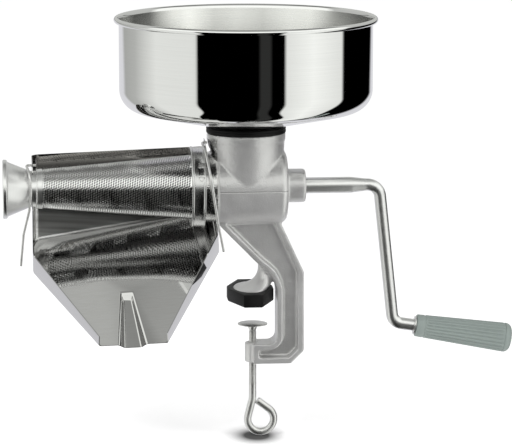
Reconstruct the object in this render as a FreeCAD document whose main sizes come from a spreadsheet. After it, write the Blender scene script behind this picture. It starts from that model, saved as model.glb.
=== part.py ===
import FreeCAD, Part
import math
import os

import Sketcher

# Tomato strainer with a hand crank, clamped to a table edge. Millimetres, +Z up, +X along the
# auger towards the crank, +Y to the back. The origin is the middle of the clamp pad's underside.
# Every piece is drawn about the tower point, where the hopper's axis meets the auger's axis,
# and is then moved from there to its place.

doc = FreeCAD.newDocument("tomato_strainer")

# Driving dimensions. Lengths along X and Z are counted from the tower point.
DIMENSIONS = {
    "axis_height": 115.5, "tower_offset": -4.0,
    "running_gap": 0.05, "loose_gap": 0.3,
    # hopper
    "wall_radius": 125.75, "rim_height": 167.2, "bead_radius": 2.75, "bowl_sheet": 0.9,
    "bowl_slope": 0.213, "bowl_corner": 22.0, "spout_radius": 33.6, "spout_low": 38.0,
    "bowl_low": 60.9,
    # hopper gasket
    "gasket_radius": 39.75, "gasket_height": 5.6,
    # body casting: neck, barrel, spigot and bearing boss
    "neck_top": 54.5, "neck_radius": 38.4, "neck_foot_radius": 36.2, "neck_lip": 0.9,
    "neck_lip_height": 7.0, "relief_low": 26.0, "relief_high": 44.0, "barrel_radius": 37.0,
    "barrel_left": -29.0, "barrel_right": 40.2, "barrel_corner": 7.0, "spigot_radius": 35.0,
    "spigot_left": -51.0, "bore_radius": 30.5, "end_wall": 5.0, "inlet_radius": 27.5,
    "boss_radius": 16.9, "boss_end": 59.3, "boss_corner": 2.5,
    # clamp frame of the casting
    "frame_depth": 30.0, "web_thickness": 8.0, "rib_width": 6.0, "post_inner": 30.0,
    "post_outer": 57.2, "shoulder_height": -86.0, "brace_left": -27.0, "brace_low": -38.0,
    "jaw_left": 9.0, "jaw_height": -75.0, "jaw_low": -107.7, "arm_top": -158.5,
    "arm_low": -179.0, "heel_cut": 13.0, "throat_corner": 8.0, "screw_offset": 6.5,
    "screw_boss_radius": 8.0,
    "foot_length": 58.0, "foot_width": 34.0, "foot_plate": 5.4, "foot_top_length": 22.0,
    # clamp pad
    "pad_width": 46.0, "pad_length": 86.0, "pad_rim": 13.0, "pad_cut_width": 13.5,
    "pad_cut_length": 35.0, "pad_offset": 4.0,
    # clamp screw, disc and cup
    "screw_radius": 4.0, "disc_radius": 15.0, "disc_top": -139.6, "disc_thickness": 2.6,
    "disc_crown": 0.8, "cup_radius": 4.4, "cup_height": 4.6, "eye_rod": 3.75,
    "eye_radius": 13.2, "eye_height": -238.4, "eye_offset": 8.2, "neck_of_eye": -213.0,
    "eye_end_step": 5.3, "eye_end_drop": 6.5,
    # shaft, bush, washer and seal
    "shaft_radius": 8.0, "bush_radius": 11.0, "bush_flange": 14.5, "bush_flange_height": 2.0,
    "washer_thickness": 1.5, "seal_radius": 13.0, "seal_width": 4.0,
    # crank
    "crank_reach": 133.5, "crank_drop": 141.0, "crank_lean": 15.1, "pin_slope": 0.155,
    "arm_radius": 6.1, "pin_radius": 5.2, "upper_bend": 13.0, "lower_bend": 11.0,
    "taper_back": 25.5, "taper_length": 13.0, "shaft_inner_end": 12.0,
    # grip
    "grip_start": 23.2, "grip_length": 98.0, "grip_near": 11.2, "grip_far": 14.8,
    "grip_collar": 8.5, "grip_rib_depth": 1.3, "grip_cap_length": 7.0, "grip_pocket": 9.0,
    "grip_pocket_depth": 10.0, "grip_washer_thickness": 1.6,
    # auger
    "auger_left": -204.0, "auger_hub": 15.0, "auger_tip": 7.5,
    "auger_gap": 0.8, "flight_pitch": 34.0, "flight_thickness": 5.0, "drive_pin_radius": 2.5,
    # strainer cone
    "cone_left": -209.0, "cone_right": -53.0, "cone_small": 18.8, "cone_large": 32.2,
    "cone_sheet": 0.7, "cone_flange_radius": 34.7, "cone_flange": 1.0, "band_width": 6.0,
    "band_sheet": 0.7,
    # ring nut with its bayonet
    "nut_radius": 40.8, "nut_left": -56.0, "nut_right": -42.0,
    "nut_bead": 1.2, "bayonet_radius": 2.6, "bayonet_place": -46.6, "bayonet_angle": 20.0,
    "bayonet_turn": 20.0,
    # waste funnel
    "funnel_rim": 29.4, "funnel_left": -242.0, "funnel_lip": 4.0, "funnel_neck": -215.5,
    "funnel_sheet": 0.8, "funnel_sleeve": 8.0,
    # juice chute
    "chute_back": 43.0, "chute_left": -213.0, "chute_right": -31.0, "chute_lean": 0.13,
    "chute_sheet": 0.8, "hood_left_height": 28.0, "hood_right_height": 34.5, "crease_left": -59.0,
    "crease_right": -30.5, "floor_slope": 1.0, "chute_wall": 32.0, "lip_left": -150.0,
    "lip_right": -81.5, "lip_left_front": -56.5, "lip_right_front": -63.5,
    "corner_left_front": 14.0, "corner_right_front": 5.0, "spout_place": -116.5,
    "spout_half": 14.0, "spout_depth": 5.5, "spout_top_front": -17.0,
    "spout_top_half": 5.0, "spout_top_place": -120.4,
    # wire clips
    "clip_radius": 1.25, "left_ear": 5.0, "right_ear": 9.2, "ear_edge": 3.5,
    "clip_step": 5.5, "clip_stand": 1.6, "clip_bend": 2.5, "clip_wide_bend": 20.0,
    "left_tail": 73.0, "left_knee": 42.0, "left_flare": 12.0, "right_tail": 58.0,
    "right_knee": 30.0, "right_flare": 16.5,
}

sheet = doc.addObject("Spreadsheet::Sheet", "sizes")
for row, (alias, number) in enumerate(DIMENSIONS.items(), start=1):
    sheet.set("A%d" % row, alias)
    sheet.set("B%d" % row, str(number))
    sheet.setAlias("B%d" % row, alias)
doc.recompute()


class Size:
    """A size with its value now and its formula over the sheet."""

    def __init__(self, value, formula):
        self.value = value
        self.formula = formula

    @staticmethod
    def of(other):
        if isinstance(other, Size):
            return other
        return Size(float(other), "(%r)" % float(other))

    def __add__(self, other):
        other = Size.of(other)
        return Size(self.value + other.value, "(%s + %s)" % (self.formula, other.formula))

    def __sub__(self, other):
        other = Size.of(other)
        return Size(self.value - other.value, "(%s - %s)" % (self.formula, other.formula))

    def __mul__(self, other):
        other = Size.of(other)
        return Size(self.value * other.value, "(%s * %s)" % (self.formula, other.formula))

    __rmul__ = __mul__

    def __truediv__(self, other):
        other = Size.of(other)
        return Size(self.value / other.value, "(%s / %s)" % (self.formula, other.formula))

    def __neg__(self):
        return Size(-self.value, "(0 - %s)" % self.formula)

    def root(self):
        return Size(math.sqrt(self.value), "sqrt(%s)" % self.formula)

    def __float__(self):
        return self.value


class Dimensions:
    """The sheet's cells by name, each as a Size."""

    def __getattr__(self, name):
        return Size(float(sheet.get(name)), "sizes." + name)


d = Dimensions()
ZERO = Size(0.0, "0")
ONE = Size(1.0, "1")
pieces = []


def bind(item, path, size):
    item.setExpression(path, Size.of(size).formula)


def place_at_tower(item):
    """Moves a finished piece from the tower point's frame to the part's own frame."""
    bind(item, "Placement.Base.x", d.tower_offset)
    bind(item, "Placement.Base.z", d.axis_height)


def piece(item, label):
    """Names a finished piece, which is then written out under that name."""
    item.Label = label
    place_at_tower(item)
    pieces.append(item)
    return item


def origin_plane(body, role):
    return [feature for feature in body.Origin.OriginFeatures if feature.Role == role][0]


def draw_outline(sketch, points):
    """Draws a closed outline whose corners are bound to the sheet.

    A point is (x, y), or (x, y, radius, side) where the edge that leaves it is an arc that
    turns to that side.
    """
    edges = []
    for index, point in enumerate(points):
        start = FreeCAD.Vector(float(point[0]), float(point[1]), 0)
        following = points[(index + 1) % len(points)]
        end = FreeCAD.Vector(float(following[0]), float(following[1]), 0)
        if len(point) == 2:
            sketch.addGeometry(Part.LineSegment(start, end), False)
            edges.append((1, 2))
            continue
        radius = float(point[2])
        chord = end - start
        middle = (start + end) * 0.5
        reach = math.sqrt(max(radius ** 2 - chord.Length ** 2 / 4, 0))
        turn = 1 if point[3] == "left" else -1
        across = FreeCAD.Vector(-chord.y, chord.x, 0).normalize() * turn
        crown = middle + across * (reach - radius)
        if turn > 0:
            sketch.addGeometry(Part.Arc(start, crown, end), False)
            edges.append((1, 2))
        else:
            sketch.addGeometry(Part.Arc(end, crown, start), False)
            edges.append((2, 1))
    for index, point in enumerate(points):
        start_end = edges[index][0]
        before = (index - 1) % len(points)
        sketch.addConstraint(
            Sketcher.Constraint("Coincident", before, edges[before][1], index, start_end))
        for kind, size in (("DistanceX", point[0]), ("DistanceY", point[1])):
            number = sketch.addConstraint(
                Sketcher.Constraint(kind, -1, 1, index, start_end, float(size)))
            bind(sketch, "Constraints[%d]" % number, size)
        if len(point) == 4:
            number = sketch.addConstraint(Sketcher.Constraint("Radius", index, float(point[2])))
            bind(sketch, "Constraints[%d]" % number, point[2])


def sketched_body(name, role, points):
    body = doc.addObject("PartDesign::Body", name)
    sketch = body.newObject("Sketcher::SketchObject", name + "_outline")
    sketch.AttachmentSupport = [(origin_plane(body, role), "")]
    sketch.MapMode = "FlatFace"
    draw_outline(sketch, points)
    return body, sketch


def turned(name, axis, points):
    """A turned body: points are (radius, height) about Z, or (place, radius) about X."""
    body, sketch = sketched_body(name, "XZ_Plane", points)
    feature = body.newObject("PartDesign::Revolution", name + "_turned")
    feature.Profile = (sketch, [""])
    feature.ReferenceAxis = (sketch, ["V_Axis" if axis == "Z" else "H_Axis"])
    feature.Angle = 360
    body.Tip = feature
    return body


def padded(name, role, points, depth):
    """A flat outline given a depth, half to each side of its plane."""
    body, sketch = sketched_body(name, role, points)
    feature = body.newObject("PartDesign::Pad", name + "_pad")
    feature.Profile = (sketch, [""])
    feature.SideType = "Symmetric"
    bind(feature, "Length", depth)
    body.Tip = feature
    return body


def rod(name, radius, low, high, axis="Z", at=(ZERO, ZERO)):
    """A plain cylinder between two places along an axis; at gives its other two places."""
    item = doc.addObject("Part::Cylinder", name)
    bind(item, "Radius", radius)
    bind(item, "Height", Size.of(high) - low)
    if axis == "X":
        item.Placement = FreeCAD.Placement(
            FreeCAD.Vector(0, 0, 0), FreeCAD.Rotation(FreeCAD.Vector(0, 1, 0), 90))
        places = (low, at[0], at[1])
    elif axis == "Y":
        item.Placement = FreeCAD.Placement(
            FreeCAD.Vector(0, 0, 0), FreeCAD.Rotation(FreeCAD.Vector(1, 0, 0), -90))
        places = (at[0], low, at[1])
    else:
        places = (at[0], at[1], low)
    for letter, size in zip("xyz", places):
        bind(item, "Placement.Base." + letter, size)
    return item


def joined(name, *items):
    item = doc.addObject("Part::MultiFuse", name)
    item.Shapes = list(items)
    return item


def cut(name, base, *tools):
    item = doc.addObject("Part::Cut", name)
    item.Base = base
    item.Tool = tools[0] if len(tools) == 1 else joined(name + "_tools", *tools)
    return item


def shaped(name, shape):
    item = doc.addObject("Part::Feature", name)
    item.Shape = shape
    return item


def vector(x, y, z):
    return FreeCAD.Vector(float(x), float(y), float(z))


def bent_path(points, radii):
    """Straight runs through the points, joined at each inner point by a tangent arc."""
    edges = []
    start = points[0]
    for before, corner, after, radius in zip(points, points[1:], points[2:], radii):
        inward = (before - corner).normalize()
        outward = (after - corner).normalize()
        half_angle = inward.getAngle(outward) / 2
        reach = radius / math.tan(half_angle)
        bisector = (inward + outward).normalize()
        first = corner + inward * reach
        last = corner + outward * reach
        centre = corner + bisector * (radius / math.sin(half_angle))
        crown = centre - bisector * radius
        edges.append(Part.LineSegment(start, first).toShape())
        edges.append(Part.Arc(first, crown, last).toShape())
        start = last
    edges.append(Part.LineSegment(start, points[-1]).toShape())
    return Part.Wire(edges)


def swept_rod(path, radius):
    """A round rod along a path, which starts square to the path's first run."""
    start = path.Edges[0].Vertexes[0].Point
    direction = path.Edges[0].tangentAt(path.Edges[0].FirstParameter)
    ring = Part.Wire([Part.Circle(start, direction, float(radius)).toShape()])
    return path.makePipeShell([ring], True, False)


def plate(corners, thickness, direction):
    """A flat sheet between corners, given its thickness along a direction."""
    face = Part.Face(Part.makePolygon(list(corners) + [corners[0]]))
    return face.extrude(direction.normalize() * float(thickness))


# Hopper: a straight-walled pan with a rounded lower corner, a shallow conical floor, a rolled
# rim and a short spout that stands in the casting's neck.
def make_hopper():
    slope = d.bowl_slope
    length = (slope * slope + 1).root()
    sheet_size = d.bowl_sheet
    corner_height = d.bowl_low + slope * (d.wall_radius - d.spout_radius)
    tangent = d.bowl_corner * (length - slope)
    arc_radius_place = d.wall_radius - tangent / length
    arc_low = corner_height - tangent * slope / length
    arc_high = corner_height + tangent
    bead = d.bead_radius
    bead_place = d.wall_radius + bead - sheet_size / 2
    bead_foot = (sheet_size * bead - sheet_size * sheet_size / 4).root()
    shell = turned("hopper_shell", "Z", [
        (d.spout_radius, d.spout_low),
        (d.spout_radius, d.bowl_low),
        (arc_radius_place, arc_low, d.bowl_corner, "left"),
        (d.wall_radius, arc_high),
        (d.wall_radius, d.rim_height - bead_foot, bead, "left"),
        (bead_place + bead, d.rim_height, bead, "left"),
        (bead_place, d.rim_height + bead, bead, "left"),
        (bead_place - bead, d.rim_height),
        (d.wall_radius - sheet_size, d.rim_height),
        (d.wall_radius - sheet_size, arc_high, d.bowl_corner - sheet_size, "right"),
        (arc_radius_place - sheet_size * slope / length, arc_low + sheet_size / length),
        (d.spout_radius - sheet_size, d.bowl_low + sheet_size * (length - slope)),
        (d.spout_radius - sheet_size, d.spout_low),
    ])
    piece(shell, "hopper")


def make_hopper_gasket():
    inner = d.spout_radius + d.running_gap
    top = d.neck_top + d.gasket_height
    piece(turned("gasket_ring", "Z", [
        (inner, d.neck_top), (d.gasket_radius, d.neck_top), (d.gasket_radius, top), (inner, top),
    ]), "hopper_gasket")


# Body casting: neck, barrel, spigot, bearing boss and clamp frame in one casting.
def clamp_frame_outline():
    """The clamp frame's side view: brace, jaw, post and lower arm."""
    def corner(x, z):
        return vector(x, 0, z)

    curve_start = corner(d.post_inner - 8.0, d.jaw_height - 11.0)
    curve_crown = corner(d.post_inner - 2.2, d.jaw_height - 21.0)
    curve_end = corner(d.post_inner, d.jaw_height - 34.0)
    heel = d.heel_cut
    bend = d.throat_corner
    bend_start = corner(d.post_inner, d.arm_top + bend)
    bend_crown = corner(d.post_inner - bend * 0.29289, d.arm_top + bend * 0.29289)
    lower = [
        corner(d.post_inner - bend, d.arm_top),
        corner(d.screw_offset, d.arm_top), corner(d.screw_offset, d.arm_low),
        corner(d.post_outer - heel, d.arm_low), corner(d.post_outer, d.arm_low + heel),
        corner(d.post_outer, d.shoulder_height), corner(d.barrel_right - 7.0, -34.0),
        corner(d.barrel_right - 7.0, -24.0), corner(d.brace_left, -24.0),
        corner(d.brace_left, d.brace_low), corner(d.jaw_left, d.jaw_height), curve_start,
    ]
    edges = [Part.Arc(curve_start, curve_crown, curve_end).toShape(),
             Part.LineSegment(curve_end, bend_start).toShape(),
             Part.Arc(bend_start, bend_crown, lower[0]).toShape()]
    for start, end in zip(lower, lower[1:]):
        edges.append(Part.LineSegment(start, end).toShape())
    return Part.Wire(edges)


def make_clamp_frame():
    """The frame is an I section: a thin web with a rib all round on both sides."""
    outline = Part.Face(clamp_frame_outline())
    depth = float(d.frame_depth)
    solid = outline.extrude(FreeCAD.Vector(0, depth, 0))
    solid.translate(FreeCAD.Vector(0, -depth / 2, 0))
    pocket_face = outline.makeOffset2D(-float(d.rib_width))
    pocket_depth = (depth - float(d.web_thickness)) / 2
    for side in (-1, 1):
        pocket = pocket_face.extrude(FreeCAD.Vector(0, side * pocket_depth, 0))
        pocket.translate(FreeCAD.Vector(0, side * (depth / 2 - pocket_depth), 0))
        solid = solid.cut(pocket)
    return shaped("clamp_frame", solid)


def foot_section(left, right, half_length, height):
    """One level of the jaw's foot, an ellipse between two places along X."""
    centre = vector((left + right) / 2, 0, height)
    half_width = (right - left) / 2
    if half_length > half_width:
        ellipse = Part.Ellipse(centre, half_length, half_width)
        ellipse.XAxis = FreeCAD.Vector(0, 1, 0)
    else:
        ellipse = Part.Ellipse(centre, half_width, half_length)
    return Part.Wire([ellipse.toShape()])


def make_jaw_foot():
    """The jaw spreads into a foot whose plate carries the pad."""
    post = float(d.post_inner)
    jaw = float(d.jaw_height)
    low = float(d.jaw_low)
    centre = float(d.pad_offset)
    half = float(d.foot_width) / 2
    plate_top = low + float(d.foot_plate)
    top_half = float(d.foot_top_length) / 2
    levels = [
        (float(d.jaw_left) + 0.5, post - 7.0, top_half, jaw + 5.0),
        (float(d.jaw_left) + 1.5, post - 3.0, top_half, (jaw + plate_top) / 2),
        (centre - half, centre + half, float(d.foot_length) / 2, plate_top),
        (centre - half, centre + half, float(d.foot_length) / 2, low),
    ]
    sections = [foot_section(*level) for level in levels]
    foot = Part.makeLoft(sections[:3], True, False)
    base = Part.makeLoft(sections[2:], True, True)
    return shaped("jaw_foot", foot.fuse(base))


def make_body_casting():
    corner = d.barrel_corner
    small = d.boss_corner
    barrel = turned("casting_barrel", "X", [
        (d.spigot_left, ZERO),
        (d.spigot_left, d.spigot_radius),
        (d.barrel_left, d.spigot_radius),
        (d.barrel_left, d.barrel_radius),
        (d.barrel_right - corner, d.barrel_radius, corner, "right"),
        (d.barrel_right, d.barrel_radius - corner),
        (d.barrel_right, d.boss_radius),
        (d.boss_end - small, d.boss_radius, small, "right"),
        (d.boss_end, d.boss_radius - small),
        (d.boss_end, ZERO),
    ])
    lip_low = d.neck_top - d.neck_lip_height
    neck = turned("casting_neck", "Z", [
        (ZERO, ZERO),
        (d.neck_foot_radius, ZERO),
        (d.neck_radius, lip_low - d.neck_lip),
        (d.neck_radius + d.neck_lip, lip_low),
        (d.neck_radius + d.neck_lip, d.neck_top),
        (ZERO, d.neck_top),
    ])
    beyond = d.neck_radius + 20
    relief = padded("neck_relief", "XZ_Plane", [
        (d.barrel_left, -1 * ONE), (d.barrel_left, d.relief_low),
        (-d.neck_radius - 1, d.relief_high), (-beyond, d.relief_high), (-beyond, -1 * ONE),
    ], 3 * d.neck_radius)
    neck = cut("neck_relieved", neck, relief)
    screw_boss = rod("screw_boss", d.screw_boss_radius, d.arm_low, d.arm_top,
                     at=(d.screw_offset, ZERO))
    outside = joined("casting_outside", barrel, neck, make_clamp_frame(), make_jaw_foot(),
                     screw_boss)
    bore_end = d.barrel_right - d.end_wall
    bore = turned("casting_bore", "X", [
        (d.spigot_left - 1, ZERO),
        (d.spigot_left - 1, d.bore_radius),
        (bore_end, d.bore_radius),
        (bore_end, d.bush_radius + d.running_gap),
        (d.boss_end - d.seal_width, d.bush_radius + d.running_gap),
        (d.boss_end - d.seal_width, d.seal_radius + d.running_gap),
        (d.boss_end + 1, d.seal_radius + d.running_gap),
        (d.boss_end + 1, ZERO),
    ])
    socket_radius = d.spout_radius + d.running_gap
    inlet = turned("casting_inlet", "Z", [
        (ZERO, ZERO),
        (d.inlet_radius, ZERO),
        (d.inlet_radius, d.spout_low - d.loose_gap),
        (socket_radius, d.spout_low - d.loose_gap),
        (socket_radius, d.neck_top + 1),
        (ZERO, d.neck_top + 1),
    ])
    thread = rod("screw_hole", d.screw_radius + d.running_gap, d.arm_low - 1, d.arm_top + 1,
                 at=(d.screw_offset, ZERO))
    pin_reach = float(d.nut_radius - d.bore_radius)
    pin_holes = Part.makeCompound([bayonet_rod(angle, pin_reach) for angle in bayonet_angles()])
    piece(cut("casting_finished", outside, bore, inlet, thread, shaped("pin_holes", pin_holes)),
          "body_casting")


def bayonet_angles():
    """Where the two bayonet pins stand, about the auger's axis from the front."""
    return (float(d.bayonet_angle), float(d.bayonet_angle) + 180)


def outward(angle):
    """The direction from the auger's axis at an angle above the front."""
    return FreeCAD.Vector(0, -math.cos(math.radians(angle)), math.sin(math.radians(angle)))


def bayonet_rod(angle, length):
    """A radial rod at an angle above the front, from the spigot's bore outwards."""
    start = vector(d.bayonet_place, 0, 0) + outward(angle) * float(d.bore_radius + d.loose_gap)
    return Part.makeCylinder(float(d.bayonet_radius), length, start, outward(angle))


def make_bayonet_pins():
    length = float(d.nut_radius - d.bore_radius - d.loose_gap) - 0.6
    pins = [bayonet_rod(angle, length) for angle in bayonet_angles()]
    piece(shaped("bayonet_pair", Part.makeCompound(pins)), "bayonet_pins")


# Shaft fittings in the boss.
def make_bearing_bush():
    inner = d.shaft_radius + d.running_gap
    face = d.barrel_right - d.end_wall
    flange = face - d.bush_flange_height
    end = d.boss_end - d.seal_width
    piece(turned("bush_turned", "X", [
        (flange, inner), (flange, d.bush_flange), (face, d.bush_flange), (face, d.bush_radius),
        (end, d.bush_radius), (end, inner),
    ]), "bearing_bush")


def make_thrust_washer():
    inner = d.shaft_radius + d.running_gap
    face = d.barrel_right - d.end_wall - d.bush_flange_height
    piece(turned("washer_turned", "X", [
        (face - d.washer_thickness, inner), (face - d.washer_thickness, d.bush_flange),
        (face, d.bush_flange), (face, inner),
    ]), "thrust_washer")


def make_shaft_seal():
    inner = d.shaft_radius + d.running_gap
    start = d.boss_end - d.seal_width
    piece(turned("seal_turned", "X", [
        (start, inner), (start, d.seal_radius), (d.boss_end, d.seal_radius), (d.boss_end, inner),
    ]), "shaft_seal")


# Auger: a tapering core with one helical flight, inside the barrel and the cone.
def cone_inside(place):
    """The strainer cone's inner radius at a place along the axis."""
    share = (place - d.cone_left) / (d.cone_right - d.cone_left)
    return d.cone_small + (d.cone_large - d.cone_small) * share - d.cone_sheet


def helical_flight(low, length, core, outer, growth, phase):
    """A flight of constant height that winds up Z on a core which grows with height."""
    pitch = float(d.flight_pitch)
    sunk = core - 1.3
    root = float(d.flight_thickness) * 0.65
    crest = float(d.flight_thickness) * 0.35
    middle = (sunk + outer) / 2
    turns = Part.makeHelix(pitch, length, middle, math.degrees(math.atan(growth)))
    section = Part.makePolygon([
        FreeCAD.Vector(sunk, 0, -root), FreeCAD.Vector(outer, 0, -crest),
        FreeCAD.Vector(outer, 0, crest), FreeCAD.Vector(sunk, 0, root),
        FreeCAD.Vector(sunk, 0, -root)])
    flight = Part.Wire(turns.Edges).makePipeShell([section], True, True)
    flight.rotate(FreeCAD.Vector(0, 0, 0), FreeCAD.Vector(0, 0, 1), phase)
    flight.translate(FreeCAD.Vector(0, 0, low))
    return flight


def auger_right():
    """The auger pushes on the thrust washer, which lies on the bush's flange."""
    return float(d.barrel_right - d.end_wall - d.bush_flange_height - d.washer_thickness)


def make_auger():
    gap = float(d.auger_gap)
    right = auger_right()
    left = float(d.auger_left)
    mouth = float(d.spigot_left) - 4.0
    end_room = float(d.flight_thickness)
    outer_mouth = float(d.bore_radius) - gap
    outer_left = float(cone_inside(Size.of(left))) - gap
    length = mouth - left
    growth = (outer_mouth - outer_left) / length
    core_left = float(d.auger_tip)
    core_right = core_left + growth * length
    up = FreeCAD.Vector(0, 0, 1)
    tapered = Part.makeCone(core_left, core_right, length, FreeCAD.Vector(0, 0, left), up)
    straight = Part.makeCylinder(core_right, right - mouth, FreeCAD.Vector(0, 0, mouth), up)
    cone_flight = helical_flight(
        left + end_room, length - end_room, core_left + growth * end_room,
        outer_left + growth * end_room - 0.3, growth, 0)
    turned_by = 360.0 * (length - end_room + 2.0) / float(d.flight_pitch)
    barrel_flight = helical_flight(
        mouth + 2.0, right - mouth - 2.0 - end_room, core_right, outer_mouth, 0, turned_by)
    solid = tapered.fuse(straight).fuse(cone_flight).fuse(barrel_flight)
    solid.rotate(FreeCAD.Vector(0, 0, 0), FreeCAD.Vector(0, 1, 0), 90)
    socket = Part.makeCylinder(
        float(d.shaft_radius), right - float(d.shaft_inner_end) + 1,
        FreeCAD.Vector(float(d.shaft_inner_end), 0, 0), FreeCAD.Vector(1, 0, 0))
    piece(shaped("auger_whole", solid.cut(socket).cut(drive_pin_shape())), "auger")


def drive_pin_shape():
    half = float(d.auger_hub)
    place = (float(d.shaft_inner_end) + auger_right()) / 2
    return Part.makeCylinder(
        float(d.drive_pin_radius), 2 * half, FreeCAD.Vector(place, -half, 0),
        FreeCAD.Vector(0, 1, 0))


def make_drive_pin():
    piece(shaped("drive_pin_rod", drive_pin_shape()), "drive_pin")


# Crank: one bent rod, thick through the bearing, thinner along the arm, with a pin at its end.
def crank_corner():
    return FreeCAD.Vector(
        float(d.crank_reach) + float(d.crank_lean), 0, -float(d.crank_drop))


def pin_direction():
    return FreeCAD.Vector(1, 0, -float(d.pin_slope)).normalize()


def make_crank_rod():
    taper_start = float(d.crank_reach - d.taper_back)
    taper_end = taper_start + float(d.taper_length)
    arm = float(d.arm_radius)
    shaft = Part.makeCylinder(
        float(d.shaft_radius), taper_start - float(d.shaft_inner_end),
        FreeCAD.Vector(float(d.shaft_inner_end), 0, 0), FreeCAD.Vector(1, 0, 0))
    taper = Part.makeCone(
        float(d.shaft_radius), arm, float(d.taper_length),
        FreeCAD.Vector(taper_start, 0, 0), FreeCAD.Vector(1, 0, 0))
    corner = crank_corner()
    shoulder = corner + pin_direction() * (float(d.grip_start) - float(d.grip_washer_thickness))
    path = bent_path(
        [FreeCAD.Vector(taper_end, 0, 0), FreeCAD.Vector(float(d.crank_reach), 0, 0), corner,
         shoulder], [float(d.upper_bend), float(d.lower_bend)])
    pin_end = float(d.grip_length) - float(d.grip_pocket_depth) + 5.0
    pin = Part.makeCylinder(
        float(d.pin_radius), pin_end + float(d.grip_washer_thickness) + 1.0,
        shoulder - pin_direction(), pin_direction())
    whole = shaft.fuse([taper, swept_rod(path, arm), pin]).removeSplitter()
    piece(shaped("crank_bent", whole.cut(drive_pin_shape())), "crank_rod")


# Grip: a ribbed handle that spins on the crank's pin.
def along_pin(item, label):
    """Puts a piece that is drawn along Z from the grip's near face onto the crank's pin."""
    item.Label = label
    start = crank_corner() + pin_direction() * float(d.grip_start)
    turn = FreeCAD.Rotation(FreeCAD.Vector(0, 0, 1), pin_direction())
    start += vector(d.tower_offset, 0, d.axis_height)
    item.Placement = FreeCAD.Placement(start, turn)
    pieces.append(item)


def make_crank_grip():
    gap = d.running_gap
    ribbed_end = d.grip_length - d.grip_cap_length
    collar = d.grip_collar
    flare = (d.grip_far - d.grip_near) / ribbed_end
    at_collar = d.grip_near + flare * collar
    body = turned("grip_turned", "Z", [
        (d.pin_radius + gap, d.loose_gap),
        (d.grip_near - 1.0, d.loose_gap),
        (d.grip_near, d.loose_gap + 1.0),
        (at_collar, collar),
        (d.grip_far, ribbed_end),
        (d.grip_pocket, ribbed_end),
        (d.grip_pocket, d.grip_length - d.grip_pocket_depth - 2.0),
        (d.pin_radius + gap, d.grip_length - d.grip_pocket_depth - 2.0),
    ])
    grooves = []
    count = 16
    low = vector(at_collar + 0.9, 0, collar + 1.5)
    high = vector(d.grip_far + 0.9, 0, ribbed_end + 1.0)
    axis = high - low
    groove_radius = 0.9 + float(d.grip_rib_depth)
    groove = Part.makeCylinder(groove_radius, axis.Length, low, axis)
    groove = groove.fuse(Part.makeSphere(groove_radius, low))
    for number in range(count):
        turned_groove = groove.copy()
        turned_groove.rotate(
            FreeCAD.Vector(0, 0, 0), FreeCAD.Vector(0, 0, 1), 360.0 * number / count)
        grooves.append(turned_groove)
    along_pin(cut("grip_ribbed", body, shaped("grip_grooves", Part.makeCompound(grooves))),
              "crank_grip")


def make_grip_cap():
    """The rounded end of the grip, with a plug that fits the pocket."""
    base = d.grip_length - d.grip_cap_length
    round_edge = d.grip_cap_length - 1.0
    plug = d.grip_pocket - d.running_gap
    along_pin(turned("grip_cap_turned", "Z", [
        (ZERO, d.grip_length),
        (ZERO, d.grip_length - 2.0),
        (plug - 2.0, d.grip_length - 2.0),
        (plug - 2.0, base - 2.5),
        (plug, base - 2.5),
        (plug, base),
        (d.grip_far, base),
        (d.grip_far, d.grip_length - round_edge, round_edge, "left"),
        (d.grip_far - round_edge, d.grip_length),
    ]), "grip_cap")


def make_grip_washers():
    inner = d.pin_radius + d.running_gap
    along_pin(turned("grip_washer_turned", "Z", [
        (inner, -d.grip_washer_thickness), (d.grip_near - 2.0, -d.grip_washer_thickness),
        (d.grip_near - 2.0, ZERO), (inner, ZERO),
    ]), "grip_washer")
    base = d.grip_length - d.grip_pocket_depth - 2.0 + d.loose_gap
    along_pin(turned("grip_clip_turned", "Z", [
        (d.pin_radius, base), (d.grip_pocket - 2.6, base), (d.grip_pocket - 2.6, base + 1.2),
        (d.pin_radius, base + 1.2),
    ]), "grip_retainer")


# Strainer cone, its end band and its seal.
def make_strainer_cone():
    sheet_size = d.cone_sheet
    flange_left = d.cone_right
    flange_right = d.cone_right + d.cone_flange
    piece(turned("cone_turned", "X", [
        (d.cone_left, d.cone_small - sheet_size),
        (d.cone_left, d.cone_small),
        (flange_left, d.cone_large),
        (flange_left, d.cone_flange_radius),
        (flange_right, d.cone_flange_radius),
        (flange_right, d.cone_large - sheet_size),
        (flange_left, d.cone_large - sheet_size),
    ]), "strainer_cone")


def make_cone_band():
    """A plain ring round the small end of the cone."""
    slope = (d.cone_large - d.cone_small) / (d.cone_right - d.cone_left)
    right = d.cone_left + d.band_width
    rise = slope * d.band_width
    gap = d.running_gap
    piece(turned("band_turned", "X", [
        (d.cone_left, d.cone_small + gap),
        (d.cone_left, d.cone_small + gap + d.band_sheet),
        (right, d.cone_small + rise + gap + d.band_sheet),
        (right, d.cone_small + rise + gap),
    ]), "cone_end_band")


def make_cone_seal():
    start = d.cone_right + d.cone_flange
    piece(turned("cone_seal_turned", "X", [
        (start, d.bore_radius), (start, d.cone_flange_radius), (d.spigot_left, d.cone_flange_radius),
        (d.spigot_left, d.bore_radius),
    ]), "cone_seal")


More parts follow.
